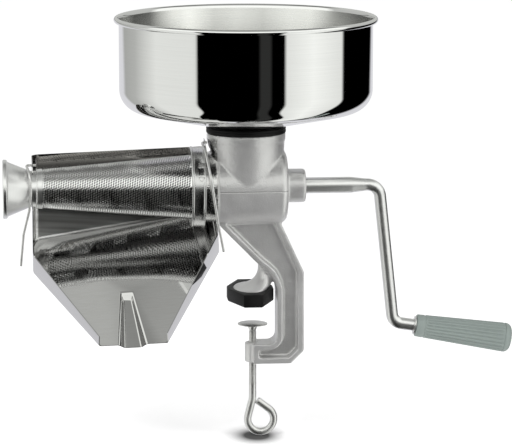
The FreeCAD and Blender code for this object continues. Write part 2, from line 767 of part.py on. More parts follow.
# Ring nut: a polished collar that locks the cone on the spigot with two bayonet slots.
def make_ring_nut():
    bore = d.spigot_radius + d.loose_gap
    lip_right = d.cone_right - d.loose_gap
    ring = turned("nut_turned", "X", [
        (d.nut_left, d.cone_large + d.loose_gap),
        (d.nut_left, d.nut_radius - d.nut_bead),
        (d.nut_left + d.nut_bead, d.nut_radius),
        (d.nut_right, d.nut_radius),
        (d.nut_right, bore),
        (lip_right, bore),
        (lip_right, d.cone_large + d.loose_gap),
    ])
    slots = []
    reach = float(d.bayonet_radius + d.loose_gap)
    place = float(d.bayonet_place)
    for angle in bayonet_angles():
        start_angle = angle
        end_angle = angle + float(d.bayonet_turn)
        slots.append(ring_sector(place - reach, place + reach, start_angle, end_angle))
        slots.append(slot_end(place, reach, start_angle))
        slots.append(ring_sector(place - reach, float(d.nut_right) + 1, end_angle, end_angle))
    piece(cut("nut_slotted", ring, shaped("nut_slots", Part.makeCompound(slots).copy())),
          "ring_nut")


def ring_sector(left, right, start_angle, end_angle):
    """The space that a bayonet pin sweeps between two angles above the front."""
    reach = float(d.bayonet_radius + d.loose_gap)
    inner = float(d.spigot_radius) - 1
    outer = float(d.nut_radius) + 3
    margin = math.degrees(reach / float(d.spigot_radius)) if start_angle == end_angle else 0
    sweep = end_angle - start_angle + 2 * margin
    corners = [FreeCAD.Vector(left, -inner, 0), FreeCAD.Vector(left, -outer, 0),
               FreeCAD.Vector(right, -outer, 0), FreeCAD.Vector(right, -inner, 0)]
    face = Part.Face(Part.makePolygon(corners + [corners[0]]))
    solid = face.revolve(FreeCAD.Vector(0, 0, 0), FreeCAD.Vector(-1, 0, 0), sweep)
    solid.rotate(FreeCAD.Vector(0, 0, 0), FreeCAD.Vector(-1, 0, 0), start_angle - margin)
    return solid


def slot_end(place, reach, angle):
    inner = float(d.spigot_radius) - 1
    base = FreeCAD.Vector(place, 0, 0) + outward(angle) * inner
    return Part.makeCylinder(reach, float(d.nut_radius) + 3 - inner, base, outward(angle))


# Waste funnel: a sleeve in the cone's small end that flares into a rolled rim.
def make_waste_funnel():
    sheet_size = d.funnel_sheet
    sleeve = d.cone_small - d.cone_sheet - d.running_gap
    sleeve_end = d.cone_left + d.funnel_sleeve
    piece(turned("funnel_turned", "X", [
        (sleeve_end, sleeve - sheet_size),
        (sleeve_end, sleeve),
        (d.funnel_neck, sleeve),
        (d.funnel_left + d.funnel_lip, d.funnel_rim - 0.6),
        (d.funnel_left + d.funnel_lip, d.funnel_rim),
        (d.funnel_left, d.funnel_rim),
        (d.funnel_left, d.funnel_rim - sheet_size),
        (d.funnel_left + d.funnel_lip - sheet_size, d.funnel_rim - sheet_size - 0.6),
        (d.funnel_neck, sleeve - sheet_size),
    ]), "waste_funnel")


# Juice chute: a bent sheet tray under the cone, with a hood behind it.
def floor_point(x, y):
    """A point of the chute's floor, which is one sloping plane."""
    along = (x - float(d.chute_left)) / float(d.chute_right - d.chute_left)
    crease = float(d.crease_left) + along * float(d.crease_right - d.crease_left)
    return FreeCAD.Vector(x, y, crease + float(d.floor_slope) * (y - float(d.chute_back)))


def floor_normal():
    rise = float((d.crease_right - d.crease_left) / (d.chute_right - d.chute_left))
    return FreeCAD.Vector(-rise, -float(d.floor_slope), 1).normalize()


def saddle(place, hole_radius, width):
    """The open notch of an end plate, round a neck and open to the front."""
    start = FreeCAD.Vector(place - width / 2, 0, 0)
    hole = Part.makeCylinder(hole_radius, width, start, FreeCAD.Vector(1, 0, 0))
    reach = 2 * hole_radius
    gate = Part.makeBox(width, reach, reach, FreeCAD.Vector(start.x, -reach, -hole_radius))
    return hole.fuse(gate)


def make_juice_chute():
    back = float(d.chute_back)
    left = float(d.chute_left)
    right = float(d.chute_right)
    thin = float(d.chute_sheet)
    normal = floor_normal()
    rim = normal * float(d.chute_wall)
    rim.x = 0
    rim_right = FreeCAD.Vector(-float(d.chute_lean) * rim.z, rim.y, rim.z)
    top_left = floor_point(left, back)
    top_right = floor_point(right, back)
    side_left = floor_point(left + thin / 2, float(d.corner_left_front))
    side_right = floor_point(right, float(d.corner_right_front))
    side_right = floor_point(right_end_place(side_right.z) - thin / 2, side_right.y)
    lip_left = floor_point(float(d.lip_left), float(d.lip_left_front))
    lip_right = floor_point(float(d.lip_right), float(d.lip_right_front))

    def lip_point(x):
        share = (x - lip_left.x) / (lip_right.x - lip_left.x)
        return floor_point(x, lip_left.y + share * (lip_right.y - lip_left.y))

    spout = float(d.spout_place)
    half = float(d.spout_half)
    top_place = float(d.spout_top_place)
    top_half = float(d.spout_top_half)
    spout_left = lip_point(spout - half)
    spout_right = lip_point(spout + half)
    along_lip = (lip_right - lip_left).normalize()
    start = floor_point(top_place, float(d.spout_top_front))
    start_left = start - along_lip * top_half
    start_right = start + along_lip * top_half
    sunk = normal * -float(d.spout_depth)
    sunk_left = lip_point(spout - half * 0.6) + sunk
    sunk_right = lip_point(spout + half * 0.6) + sunk
    floor = plate([top_left, side_left, lip_left, spout_left, start_left, start_right,
                   spout_right, lip_right, side_right, top_right], thin, normal)
    groove = [
        plate([start_left, spout_left, sunk_left], thin, normal),
        plate([start_left, sunk_left, sunk_right, start_right], thin, normal),
        plate([start_right, sunk_right, spout_right], thin, normal),
    ]

    hood_left = FreeCAD.Vector(left, back, float(d.hood_left_height))
    hood_high = float(d.hood_right_height)
    hood_right = FreeCAD.Vector(right_end_place(hood_high), back, hood_high)
    back_wall = plate([top_left, hood_left, hood_right, top_right], thin,
                      FreeCAD.Vector(0, -1, 0))
    walls = [
        plate([side_left, lip_left, lip_left + rim * 0.55, side_left + rim], thin,
              rim.cross(lip_left - side_left)),
        plate([side_right, lip_right, lip_right + rim_right * 0.55, side_right + rim_right], thin,
              (lip_right - side_right).cross(rim_right)),
    ]
    solids = [floor, back_wall] + walls + groove
    solids.append(make_left_end(top_left, side_left, rim, hood_left))
    solids.append(make_right_end(top_right, side_right, rim, hood_right))
    tray = solids[0].fuse(solids[1:])
    piece(shaped("chute_folded", tray), "juice_chute")


def make_left_end(top, side, rim, hood):
    place = float(d.chute_left)
    neck = float(d.cone_small - d.cone_sheet + d.loose_gap)
    high = hood.z
    front = -neck - 6.0
    edge = side.y - float(d.chute_sheet) / 2
    corners = [top, FreeCAD.Vector(place, edge, side.z),
               FreeCAD.Vector(place, edge + rim.y, side.z + rim.z),
               FreeCAD.Vector(place, front, -neck - 8.0), FreeCAD.Vector(place, front, neck + 2.0),
               FreeCAD.Vector(place, front + 8.0, high), hood]
    end = plate(corners, d.chute_sheet, FreeCAD.Vector(1, 0, 0))
    end = end.cut(saddle(place, neck, 6.0))
    return end.cut(clip_hole(place, clip_pivot_left()))


def right_end_place(height):
    """The right end plate leans, so that its ear clears the casting's neck."""
    return float(d.chute_right) - float(d.chute_lean) * (height - float(d.crease_right))


def make_right_end(top, side, rim, hood):
    neck = float(d.spigot_radius + d.loose_gap)
    front = -neck - 1.0
    ear = clip_pivot_right().z + float(d.ear_edge)
    edge = side.y - float(d.chute_sheet) / 2
    levels = [
        (top.y, top.z), (edge, side.z), (edge + rim.y, side.z + rim.z),
        (front, -neck - 2.0), (front, -8.0), (front + 16.0, ear - 14.0), (-6.0, ear),
        (8.0, ear), (hood.y, hood.z)]
    corners = [FreeCAD.Vector(right_end_place(z), y, z) for y, z in levels]
    end = plate(corners, d.chute_sheet, FreeCAD.Vector(-1, 0, 0))
    middle = right_end_place(0)
    notch = saddle(middle, neck, 24.0)
    hole = clip_hole(right_end_place(clip_pivot_right().z), clip_pivot_right())
    return end.cut(notch).cut(hole)


# Wire clips: each turns in a hole of its end plate and closes the notch in front of the neck.
def clip_pivot_left():
    neck = float(d.cone_small - d.cone_sheet + d.loose_gap)
    return FreeCAD.Vector(0, 2.0, neck + float(d.left_ear))


def clip_pivot_right():
    return FreeCAD.Vector(0, 0, float(d.spigot_radius + d.loose_gap) + float(d.right_ear))


def clip_hole(place, pivot):
    radius = float(d.clip_radius + d.running_gap)
    return Part.makeCylinder(
        radius, 10, FreeCAD.Vector(place - 5, pivot.y, pivot.z), FreeCAD.Vector(1, 0, 0))


def make_clip_left():
    pivot = clip_pivot_left()
    left = float(d.chute_left)
    wire = float(d.clip_radius)
    neck = float(d.cone_small - d.cone_sheet)
    step = float(d.clip_step)
    stand = float(d.clip_stand)
    flare = float(d.left_flare)
    bend = float(d.clip_bend)
    wide = float(d.clip_wide_bend)
    front = -(neck + wire + stand)
    points = [
        FreeCAD.Vector(left + step * 0.75, pivot.y, pivot.z),
        FreeCAD.Vector(left - step, pivot.y, pivot.z),
        FreeCAD.Vector(left - flare * 0.2, front + wire + stand / 2, neck),
        FreeCAD.Vector(left - flare * 0.1, front, 0),
        FreeCAD.Vector(left - flare * 0.25, front - wire * 0.8, -neck),
        FreeCAD.Vector(left - flare * 0.75, front - wire * 0.8, -float(d.left_knee)),
        FreeCAD.Vector(left - flare, front - wire * 0.8, -float(d.left_tail)),
    ]
    radii = [bend, wide * 0.4, wide, wide * 0.75, wide]
    piece(shaped("clip_left_wire", swept_rod(bent_path(points, radii), wire)), "clip_left")


def make_clip_right():
    pivot = clip_pivot_right()
    hole_place = right_end_place(pivot.z)
    nut_right = float(d.nut_right)
    wire = float(d.clip_radius)
    over = float(d.nut_radius) + wire
    flare = float(d.right_flare)
    tail = float(d.right_tail)
    wide = float(d.clip_wide_bend)
    points = [
        FreeCAD.Vector(hole_place + wire * 1.44, pivot.y, pivot.z),
        FreeCAD.Vector(nut_right - wire * 1.6, pivot.y, pivot.z),
        FreeCAD.Vector(nut_right, -over * 0.63, over * 0.917),
        FreeCAD.Vector(nut_right + flare * 0.27, -over - wire * 0.4, tail * 0.24),
        FreeCAD.Vector(nut_right + flare * 0.67, -over + wire * 0.8, -float(d.right_knee)),
        FreeCAD.Vector(nut_right + flare, -over - wire * 0.4, -tail),
    ]
    radii = [float(d.clip_bend), wide * 0.6, wide * 0.7, wide]
    piece(shaped("clip_right_wire", swept_rod(bent_path(points, radii), wire)), "clip_right")


# Clamp: pad under the jaw, screw with its eye, disc and swivel cup.
def make_clamp_pad():
    """A rubber pad with cut corners and a pocket that holds the jaw's foot."""
    half_width = float(d.pad_width) / 2
    half_length = float(d.pad_length) / 2
    cut_width = float(d.pad_cut_width)
    cut_length = float(d.pad_cut_length)
    low = -float(d.axis_height)
    centre = float(d.pad_offset)

    def octagon(inset, height):
        wide = half_width - inset
        long = half_length - inset
        end = wide - cut_width + inset * 0.4
        side = long - cut_length + inset * 0.4
        return [FreeCAD.Vector(centre + x, y, height) for x, y in (
            (wide, -side), (wide, side), (end, long), (-end, long),
            (-wide, side), (-wide, -side), (-end, -long), (end, -long))]

    def ring(points):
        return Part.makePolygon(points + [points[0]])

    body = Part.makeLoft(
        [ring(octagon(1.5, low)), ring(octagon(0, low + 2.5)),
         ring(octagon(0, low + float(d.pad_rim)))], True, True)
    foot_low = float(d.jaw_low)
    pocket = Part.makeLoft([
        foot_section(centre - float(d.foot_width) / 2, centre + float(d.foot_width) / 2,
                     float(d.foot_length) / 2, height)
        for height in (foot_low, foot_low + 30)], True, True)
    piece(shaped("pad_moulded", body.cut(pocket)), "clamp_pad")


def make_clamp_disc():
    top = d.disc_top
    low = top - d.disc_thickness
    hole = d.screw_radius * 0.6
    disc = turned("disc_turned", "Z", [
        (ZERO, top), (d.disc_radius, top), (d.disc_radius, top - d.disc_crown),
        (d.cup_radius, low), (ZERO, low),
    ])
    cup_low = low - d.cup_height
    cup = turned("cup_turned", "Z", [
        (ZERO, low), (d.cup_radius, low), (d.cup_radius, low - 1.5),
        (d.cup_radius - 0.8, cup_low), (hole + 0.2, cup_low), (hole + 0.2, low - 1.5),
        (ZERO, low - 1.5),
    ])
    for item, label in ((disc, "pressure_disc"), (cup, "swivel_cup")):
        item.Label = label
        bind(item, "Placement.Base.x", d.tower_offset + d.screw_offset)
        bind(item, "Placement.Base.z", d.axis_height)
        pieces.append(item)


def make_clamp_screw():
    """A threaded rod whose lower end is bent into a closed eye; its nose turns in the cup."""
    axis = float(d.screw_offset)
    radius = float(d.screw_radius)
    cup_low = float(d.disc_top - d.disc_thickness - d.cup_height)
    nose = Part.makeCylinder(radius * 0.6 - 0.1, float(d.cup_height) - 1.5,
                             FreeCAD.Vector(axis, 0, cup_low), FreeCAD.Vector(0, 0, 1))
    top = cup_low - float(d.loose_gap)
    neck = float(d.neck_of_eye)
    shank = Part.makeCylinder(radius, top - neck, FreeCAD.Vector(axis, 0, neck),
                              FreeCAD.Vector(0, 0, 1))
    link = Part.makeCylinder(radius * 0.6 - 0.1, 1.0, FreeCAD.Vector(axis, 0, top - 0.5),
                             FreeCAD.Vector(0, 0, 1))
    centre = FreeCAD.Vector(axis + float(d.eye_offset), 0, float(d.eye_height))
    ring = float(d.eye_radius)
    eye_rod = float(d.eye_rod)

    def on_ring(degrees):
        angle = math.radians(degrees)
        return centre + FreeCAD.Vector(ring * math.cos(angle), 0, ring * math.sin(angle))

    def tangent_angle(point, side):
        away = point - centre
        return math.degrees(math.atan2(away.z, away.x) + side * math.acos(ring / away.Length))

    start = FreeCAD.Vector(axis, 0, neck - 4.0)
    end = FreeCAD.Vector(axis + float(d.eye_end_step), 0, neck - float(d.eye_end_drop))
    first = tangent_angle(start, 1)
    last = tangent_angle(end, -1)
    if last < first:
        last += 360
    middle = (first + last) / 2
    edges = [
        Part.LineSegment(start, on_ring(first)).toShape(),
        Part.Arc(on_ring(first), on_ring(middle), on_ring(last)).toShape(),
        Part.LineSegment(on_ring(last), end).toShape(),
    ]
    eye = swept_rod(Part.Wire(edges), eye_rod)
    knee = Part.makeSphere(eye_rod, start)
    stub = Part.makeCylinder(eye_rod, 6.0, start, FreeCAD.Vector(0, 0, 1))
    whole = shank.fuse([nose, link, stub, knee, eye])
    piece(shaped("screw_bent", whole), "clamp_screw")


make_hopper()
make_hopper_gasket()
make_body_casting()
make_bayonet_pins()
make_bearing_bush()
make_thrust_washer()
make_shaft_seal()
make_auger()
make_drive_pin()
make_crank_rod()
make_crank_grip()
make_grip_cap()
make_grip_washers()
make_strainer_cone()
make_cone_band()
make_cone_seal()
make_ring_nut()
make_waste_funnel()
make_juice_chute()
make_clip_left()
make_clip_right()
make_clamp_pad()
make_clamp_disc()
make_clamp_screw()

doc.recompute()

for item in doc.Objects:
    if "Invalid" in item.State or "Error" in item.State:
        raise RuntimeError("%s is not built: %s" % (item.Name, item.State))

os.makedirs("parts", exist_ok=True)
for item in pieces:
    shape = item.Shape
    if shape.isNull() or not shape.isValid():
        raise RuntimeError("%s has no valid shape" % item.Label)
    print("%-16s solids %d volume %9.1f box %s" % (
        item.Label, len(shape.Solids), shape.Volume, shape.BoundBox))
    shape.exportStep("parts/%s.step" % item.Label)
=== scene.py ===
# %% [markdown]
# # A tomato strainer with a hand crank
# A round steel pan feeds an auger inside an aluminium casting. The auger presses tomatoes
# through a perforated cone, and a folded chute leads the juice away. This first cell loads the
# solid model, whose pieces are the frame that every new piece fits.

import math

import bmesh
import bpy
from mathutils import Matrix, Vector
from mathutils.kdtree import KDTree


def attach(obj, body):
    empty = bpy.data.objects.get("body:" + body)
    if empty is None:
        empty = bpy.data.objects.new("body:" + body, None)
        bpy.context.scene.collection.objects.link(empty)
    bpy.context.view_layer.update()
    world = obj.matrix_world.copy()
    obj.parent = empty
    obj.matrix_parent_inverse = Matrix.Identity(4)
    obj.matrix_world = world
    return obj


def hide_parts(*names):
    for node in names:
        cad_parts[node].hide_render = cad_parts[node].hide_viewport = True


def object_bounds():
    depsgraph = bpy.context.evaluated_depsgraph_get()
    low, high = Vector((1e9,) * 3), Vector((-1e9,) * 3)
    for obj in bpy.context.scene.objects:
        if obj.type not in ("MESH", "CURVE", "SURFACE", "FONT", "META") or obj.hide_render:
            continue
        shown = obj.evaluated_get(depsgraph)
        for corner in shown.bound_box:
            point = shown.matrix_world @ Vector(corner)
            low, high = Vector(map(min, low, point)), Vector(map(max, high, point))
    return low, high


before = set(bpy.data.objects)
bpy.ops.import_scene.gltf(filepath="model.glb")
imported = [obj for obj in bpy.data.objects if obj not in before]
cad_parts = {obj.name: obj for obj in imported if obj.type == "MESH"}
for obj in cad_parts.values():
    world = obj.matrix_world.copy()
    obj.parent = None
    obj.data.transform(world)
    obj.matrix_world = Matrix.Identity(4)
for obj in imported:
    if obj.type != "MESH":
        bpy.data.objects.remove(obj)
cad_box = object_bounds()
scene = bpy.context.scene
print("nodes:", len(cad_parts))

# %% [markdown]
# ## Measures
# Every piece is drawn in millimetres about one point, where the pan's axis meets the auger's
# axis, because the photograph is easiest to measure from there. One matrix then takes a
# finished piece to metres and to its place.

# %% Units and the tower point
MM = 0.001
TOWER = Vector((-4.0, 0.0, 115.5))
TO_ROW = Matrix.Translation(TOWER * MM) @ Matrix.Scale(MM, 4)
FULL_TURN = 2 * math.pi
X_AXIS, Y_AXIS, Z_AXIS = Vector((1, 0, 0)), Vector((0, 1, 0)), Vector((0, 0, 1))
Z_TO_X = Matrix.Rotation(math.pi / 2, 4, "Y")


def row_place(x, y, z):
    """A place in millimetres from the tower point, as metres in the part's frame."""
    return TO_ROW @ Vector((x, y, z))


# %% [markdown]
# ## The camera
# The photograph looks slightly down and slightly from the left, through a long lens. A far
# camera with a long focal length gives the same nearly parallel view.

# %% Camera
LOOK_LEFT = math.radians(4.8)
LOOK_DOWN = math.radians(9.8)
CAMERA_DISTANCE = 3.0
LOOK_AT = Vector((0.006, 0.0, 0.079))
SENSOR_WIDTH, FOCAL_LENGTH = 36.0, 210.9
look = Vector((math.sin(LOOK_LEFT) * math.cos(LOOK_DOWN),
               math.cos(LOOK_LEFT) * math.cos(LOOK_DOWN), -math.sin(LOOK_DOWN)))
camera_data = bpy.data.cameras.new("view")
camera_data.sensor_width = SENSOR_WIDTH
camera_data.lens = FOCAL_LENGTH
camera = bpy.data.objects.new("view", camera_data)
scene.collection.objects.link(camera)
camera.location = LOOK_AT - look * CAMERA_DISTANCE
camera.rotation_mode = "QUATERNION"
camera.rotation_quaternion = look.to_track_quat("-Z", "Y")
scene.camera = camera
scene.view_settings.view_transform = "Standard"
print("camera at", [round(value, 3) for value in camera.location])


# %% [markdown]
# ## A shop for finishes
# A material is a small graph of nodes. Two classes make such a graph short to write: a
# `Socket` does arithmetic with plain operators, and a `Finish` starts a metal, rubber or
# plastic and adds nodes to it by one method.

# %% Sockets that do arithmetic
class Socket:
    """One output of a node. An operator on it adds a Math node."""

    def __init__(self, finish, link):
        self.finish = finish
        self.link = link

    def reckon(self, operation, *values, clamp=False):
        return self.finish.node(
            "ShaderNodeMath", {"operation": operation, "use_clamp": clamp},
            dict(enumerate(values)))

    def __add__(self, other):
        return self.reckon("ADD", self, other)

    def __sub__(self, other):
        return self.reckon("SUBTRACT", self, other)

    def __rsub__(self, other):
        return self.reckon("SUBTRACT", other, self)

    def __mul__(self, other):
        return self.reckon("MULTIPLY", self, other)

    def __truediv__(self, other):
        return self.reckon("DIVIDE", self, other)

    def __pow__(self, other):
        return self.reckon("POWER", self, other)

    def __abs__(self):
        return self.reckon("ABSOLUTE", self)

    __radd__ = __add__
    __rmul__ = __mul__

    def root(self):
        return self.reckon("SQRT", self)

    def at_least(self, other):
        return self.reckon("MAXIMUM", self, other)

    def angle_from(self, other):
        """The angle, in radians, whose tangent is this value over the other."""
        return self.reckon("ARCTAN2", self, other)

    def band(self, low, high):
        """Goes from 0 at low to 1 at high, and stays there."""
        width = high - low
        return self.reckon("MULTIPLY", self - low, 1.0 / width, clamp=True)


# %% [markdown]
# ## A finish
# Every finish starts as the Principled shader with a base colour, a metal share and a
# roughness. The patterns that vary them are added one by one, so one class holds the node
# tree and knows how to add a node, to move the coordinates, to mix colours and to bend normals.

# %% Finishes
class Finish:
    """A material that is being made."""

    def __init__(self, name, colour, metallic, roughness, **steady):
        self.material = bpy.data.materials.new(name)
        self.material.use_nodes = True
        self.tree = self.material.node_tree
        self.shader = self.tree.nodes["Principled BSDF"]
        self.set("Base Color", (*colour, 1.0))
        self.set("Metallic", metallic)
        self.set("Roughness", roughness)
        for key, value in steady.items():
            self.set(key.replace("_", " ").title().replace("Ior", "IOR"), value)
        self.place = self.node("ShaderNodeTexCoord", output="Object")

    def set(self, name, value):
        self.feed(self.shader.inputs[name], value)

    def now(self, name):
        """What is linked to a socket of the shader so far."""
        links = self.shader.inputs[name].links
        return Socket(self, links[0].from_socket) if links else None

    def feed(self, socket, value):
        if isinstance(value, Socket):
            self.tree.links.new(value.link, socket)
        else:
            socket.default_value = value

    def node(self, kind, settings=None, inputs=None, output=0):
        """Adds a node: its settings first, then the values or links of its sockets."""
        new = self.tree.nodes.new(kind)
        for key, value in (settings or {}).items():
            if key != "stops":
                setattr(new, key, value)
                continue
            ramp = new.color_ramp.elements
            while len(ramp) < len(value):
                ramp.new(1.0)
            for element, (position, colour) in zip(ramp, value):
                element.position = position
                element.color = (*colour, 1.0)
        for key, value in (inputs or {}).items():
            self.feed(new.inputs[key], value)
        return Socket(self, new.outputs[output])

    def moved(self, centre=(0, 0, 0), turn=(0, 0, 0), scale=(1, 1, 1)):
        """The piece's own coordinates about a centre, turned and then stretched."""
        shifted = self.node("ShaderNodeVectorMath", {"operation": "SUBTRACT"},
                            {0: self.place, 1: centre})
        turned_by = self.node("ShaderNodeMapping", {}, {"Vector": shifted, "Rotation": turn})
        return self.node("ShaderNodeMapping", {}, {"Vector": turned_by, "Scale": scale})

    def parts(self, vector):
        split = self.node("ShaderNodeSeparateXYZ", {}, {0: vector})
        outputs = split.link.node.outputs
        return [Socket(self, outputs[index]) for index in range(3)]

    def noise(self, vector, scale, detail=3.0, distortion=0.0):
        return self.node("ShaderNodeTexNoise", {},
                         {"Vector": vector, "Scale": scale, "Detail": detail,
                          "Distortion": distortion})

    def blend(self, share, first, second):
        """A colour that goes from first to second."""
        return self.node("ShaderNodeMix", {"data_type": "RGBA"},
                         {0: share, 6: first, 7: second}, output=2)

    def raise_by(self, height, distance, strength=1.0):
        """Bends the normals as if the surface stood out by height times distance."""
        before = self.now("Normal")
        inputs = {"Height": height, "Distance": distance, "Strength": strength}
        if before is not None:
            inputs["Normal"] = before
        self.set("Normal", self.node("ShaderNodeBump", {}, inputs))


def grey(value, warmth=0.0):
    """A grey, with a little more red and less blue where it is warm."""
    return (value * (1 + warmth), value, value * (1 - warmth), 1.0)


# %% [markdown]
# ## Polished and brushed steel
# Polished steel is nearly a mirror, so what shows on it is the room. Its own marks are faint:
# fine turning lines where a piece was spun, a little haze, and soft finger marks. The lines
# run round the piece's axis, so the pattern is stretched noise on the distance along that
# axis and on the distance from it. The photographed pan has a fan of light and dark bands
# inside. The render's own reflections don't give that fan, so it is a painted reflection: the
# colour of the inside goes by the angle about the axis, and the stops of
# `pan_painted_reflection_fan` were set until the two looked alike.

# %% Steel that was turned or spun about an axis
LINE_WANDER, WEAR_SCALE, WEAR_SHARE = 1.5, 22.0, 0.6


def turned_steel(name, colour, axis, centre, roughness, line_depth, haze=0.10, fine=900.0):
    """Steel with fine lines round an axis, which bend the normals by line_depth metres."""
    finish = Finish(name, colour, 1.0, roughness)
    turn = {"Z": (0, 0, 0), "X": (0, -math.pi / 2, 0)}[axis]
    along = finish.moved(centre, turn)
    x, y, z = finish.parts(along)
    radius = (x * x + y * y).root()
    lines = finish.node("ShaderNodeCombineXYZ", {},
                        {0: radius * fine, 1: z * fine, 2: y.angle_from(x) * LINE_WANDER})
    streaks = finish.noise(lines, 1.0, 4.0)
    wear = finish.noise(finish.place, WEAR_SCALE, 3.0).band(0.35, 0.75)
    finish.set("Roughness", roughness + (streaks - 0.5) * haze + wear * haze * WEAR_SHARE)
    finish.set("Base Color", finish.blend(streaks, grey(colour[0] * 0.94), grey(colour[0] * 1.04)))
    finish.raise_by(streaks, line_depth)
    return finish


PAN_CENTRE = row_place(0, 0, 0)
pan_steel = turned_steel("polished_pan_steel", (0.86, 0.86, 0.85), "Z", PAN_CENTRE, 0.03,
                         0.0000006, haze=0.02)
pan_inside = turned_steel("brushed_pan_inside_painted_reflection", (0.86, 0.86, 0.85), "Z", PAN_CENTRE, 0.24,
                          0.000004, haze=0.12)
# Painted reflection: the inside's colour runs through these light and dark tones by the angle
# about the axis.
pan_painted_reflection_fan = ((0.0, 0.8), (0.25, 0.80), (0.29, 0.45), (0.335, 0.12), (0.37, 0.22), (0.41, 0.80),
           (0.435, 0.95), (0.47, 0.66), (0.50, 0.72), (0.535, 0.62), (0.57, 0.80), (0.60, 0.82),
           (0.64, 0.50), (0.69, 0.20), (0.73, 0.12), (0.76, 0.8), (1.0, 0.8))
x, y, _ = pan_inside.parts(pan_inside.moved(PAN_CENTRE))
pan_inside.set("Base Color", pan_inside.node(
    "ShaderNodeValToRGB",
    {"stops": [(share, (tone, tone, tone * 0.98)) for share, tone in pan_painted_reflection_fan]},
    {0: x.angle_from(y) / FULL_TURN + 0.5}))
collar_steel = turned_steel("polished_collar_steel", (0.72, 0.72, 0.70), "X", PAN_CENTRE, 0.24,
                            0.00001, haze=0.06)
funnel_steel = turned_steel("spun_funnel_steel", (0.92, 0.92, 0.90), "X", PAN_CENTRE, 0.30,
                            0.00003, haze=0.12)
cone_steel = turned_steel("perforated_cone_steel", (0.92, 0.92, 0.90), "X", PAN_CENTRE, 0.10,
                          0.000003, haze=0.05)
crank_steel = turned_steel("bright_crank_steel", (0.95, 0.95, 0.95), "X", PAN_CENTRE, 0.34,
                           0.000004, haze=0.08, fine=500.0)


# %% [markdown]
# ## Rolled sheet for the chute
# The chute is folded from sheet steel whose rolling grain runs along the sheet. The grain is
# noise that is stretched far along one axis. In the photograph the chute's back is streaked
# and dull low down, and dark higher up behind the cone. A plain mirror doesn't render like
# that here, so masks on the place paint these tones into the colour: low down a painted
# reflection of the cone, with streaks, pale at the left and dark at the right, and higher up
# painted shade behind the cone. Low down the sheet is also rougher.

# %% Rolled sheet
def rolled_steel(name, colour, roughness):
    """Sheet steel with a grain along X, faint clouds and dried drops."""
    finish = Finish(name, (colour,) * 3, 1.0, roughness)
    grain = finish.noise(finish.moved(scale=(4.0, 700.0, 700.0)), 1.0, 4.0)
    clouds = finish.noise(finish.place, 16.0, 3.0, 0.5)
    drops = finish.noise(finish.moved(scale=(1.0, 1.0, 0.35)), 55.0, 2.0)
    finish.set("Roughness", roughness + grain * 0.03 + clouds.band(0.4, 0.8) * 0.04
               + drops.band(0.55, 0.8) * 0.04)
    finish.set("Base Color", finish.blend(grain, grey(colour * 0.92, 0.01), grey(colour * 1.03)))
    finish.raise_by(grain, 0.000001)
    return finish


chute_steel = rolled_steel("rolled_chute_steel_with_painted_reflection", 0.66, 0.02)
BACK_PLANE, LOW_BACK_TOP, HIGH_BACK_LOW, SHADE_START = 0.0400, -0.030, 0.008, -0.205
REFLECTION_STREAK_TURN, REFLECTION_STREAK_SCALE = (0, -0.06, 0), (5.0, 5.0, 130.0)
x, y, z = chute_steel.parts(chute_steel.moved(PAN_CENTRE))
on_back = (y - BACK_PLANE).band(0.0, 0.001)
low_back = on_back * (1.0 - (z - LOW_BACK_TOP).band(0.0, 0.010))
high_back_painted_shade = on_back * (z - HIGH_BACK_LOW).band(0.0, 0.008)
chute_steel.set("Roughness", chute_steel.now("Roughness") + low_back * 0.30)
# Low on the back, painted reflection of the cone: streaks, and a tone from pale at the left to
# dark at the right.
streaks = chute_steel.noise(chute_steel.moved(PAN_CENTRE, REFLECTION_STREAK_TURN, REFLECTION_STREAK_SCALE), 1.0, 2.0)
shade = (x - SHADE_START).band(0.0, 0.150) * 0.75 + streaks.band(0.42, 0.62) * 0.5
low_painted_reflection = chute_steel.blend(shade, grey(0.95), grey(0.12, 0.06))
back_with_painted_reflection = chute_steel.blend(low_back, chute_steel.now("Base Color"), low_painted_reflection)
# High on the back, painted shade: dark grey behind the cone.
chute_steel.set("Base Color", chute_steel.blend(high_back_painted_shade, back_with_painted_reflection, grey(0.30, 0.04)))


# %% [markdown]
# ## Zinc plate
# The clips, the pins, the disc and the screw are zinc plated: bright, with a soft cloudy grain
# that the bath leaves. One low noise varies the tone and the roughness together, and a fine
# one bends the normals.

# %% Zinc plate
def zinc_plate(name, colour, roughness):
    """Bright plating with soft clouds and fine specks."""
    finish = Finish(name, (colour,) * 3, 1.0, roughness)
    specks = finish.noise(finish.place, 900.0, 2.0)
    clouds = finish.noise(finish.place, 70.0, 3.0)
    finish.set("Roughness", roughness + clouds.band(0.3, 0.7) * 0.12)
    finish.set("Base Color", finish.blend(clouds, grey(colour * 0.88, 0.01), grey(colour * 1.05)))
    finish.raise_by(specks, 0.00002)
    return finish


zinc = zinc_plate("bright_zinc_plate", 0.95, 0.36)


# %% [markdown]
# ## Cast aluminium
# The casting is pale and satin with a fine sandy texture. It is only partly metallic here,
# because a full metal renders darker than the photographed one. The spigot that the collar
# slides on is made brighter, as a machined face would be, and a fine groove runs along the
# barrel, as a mould's parting line would, darkened by painted shade.

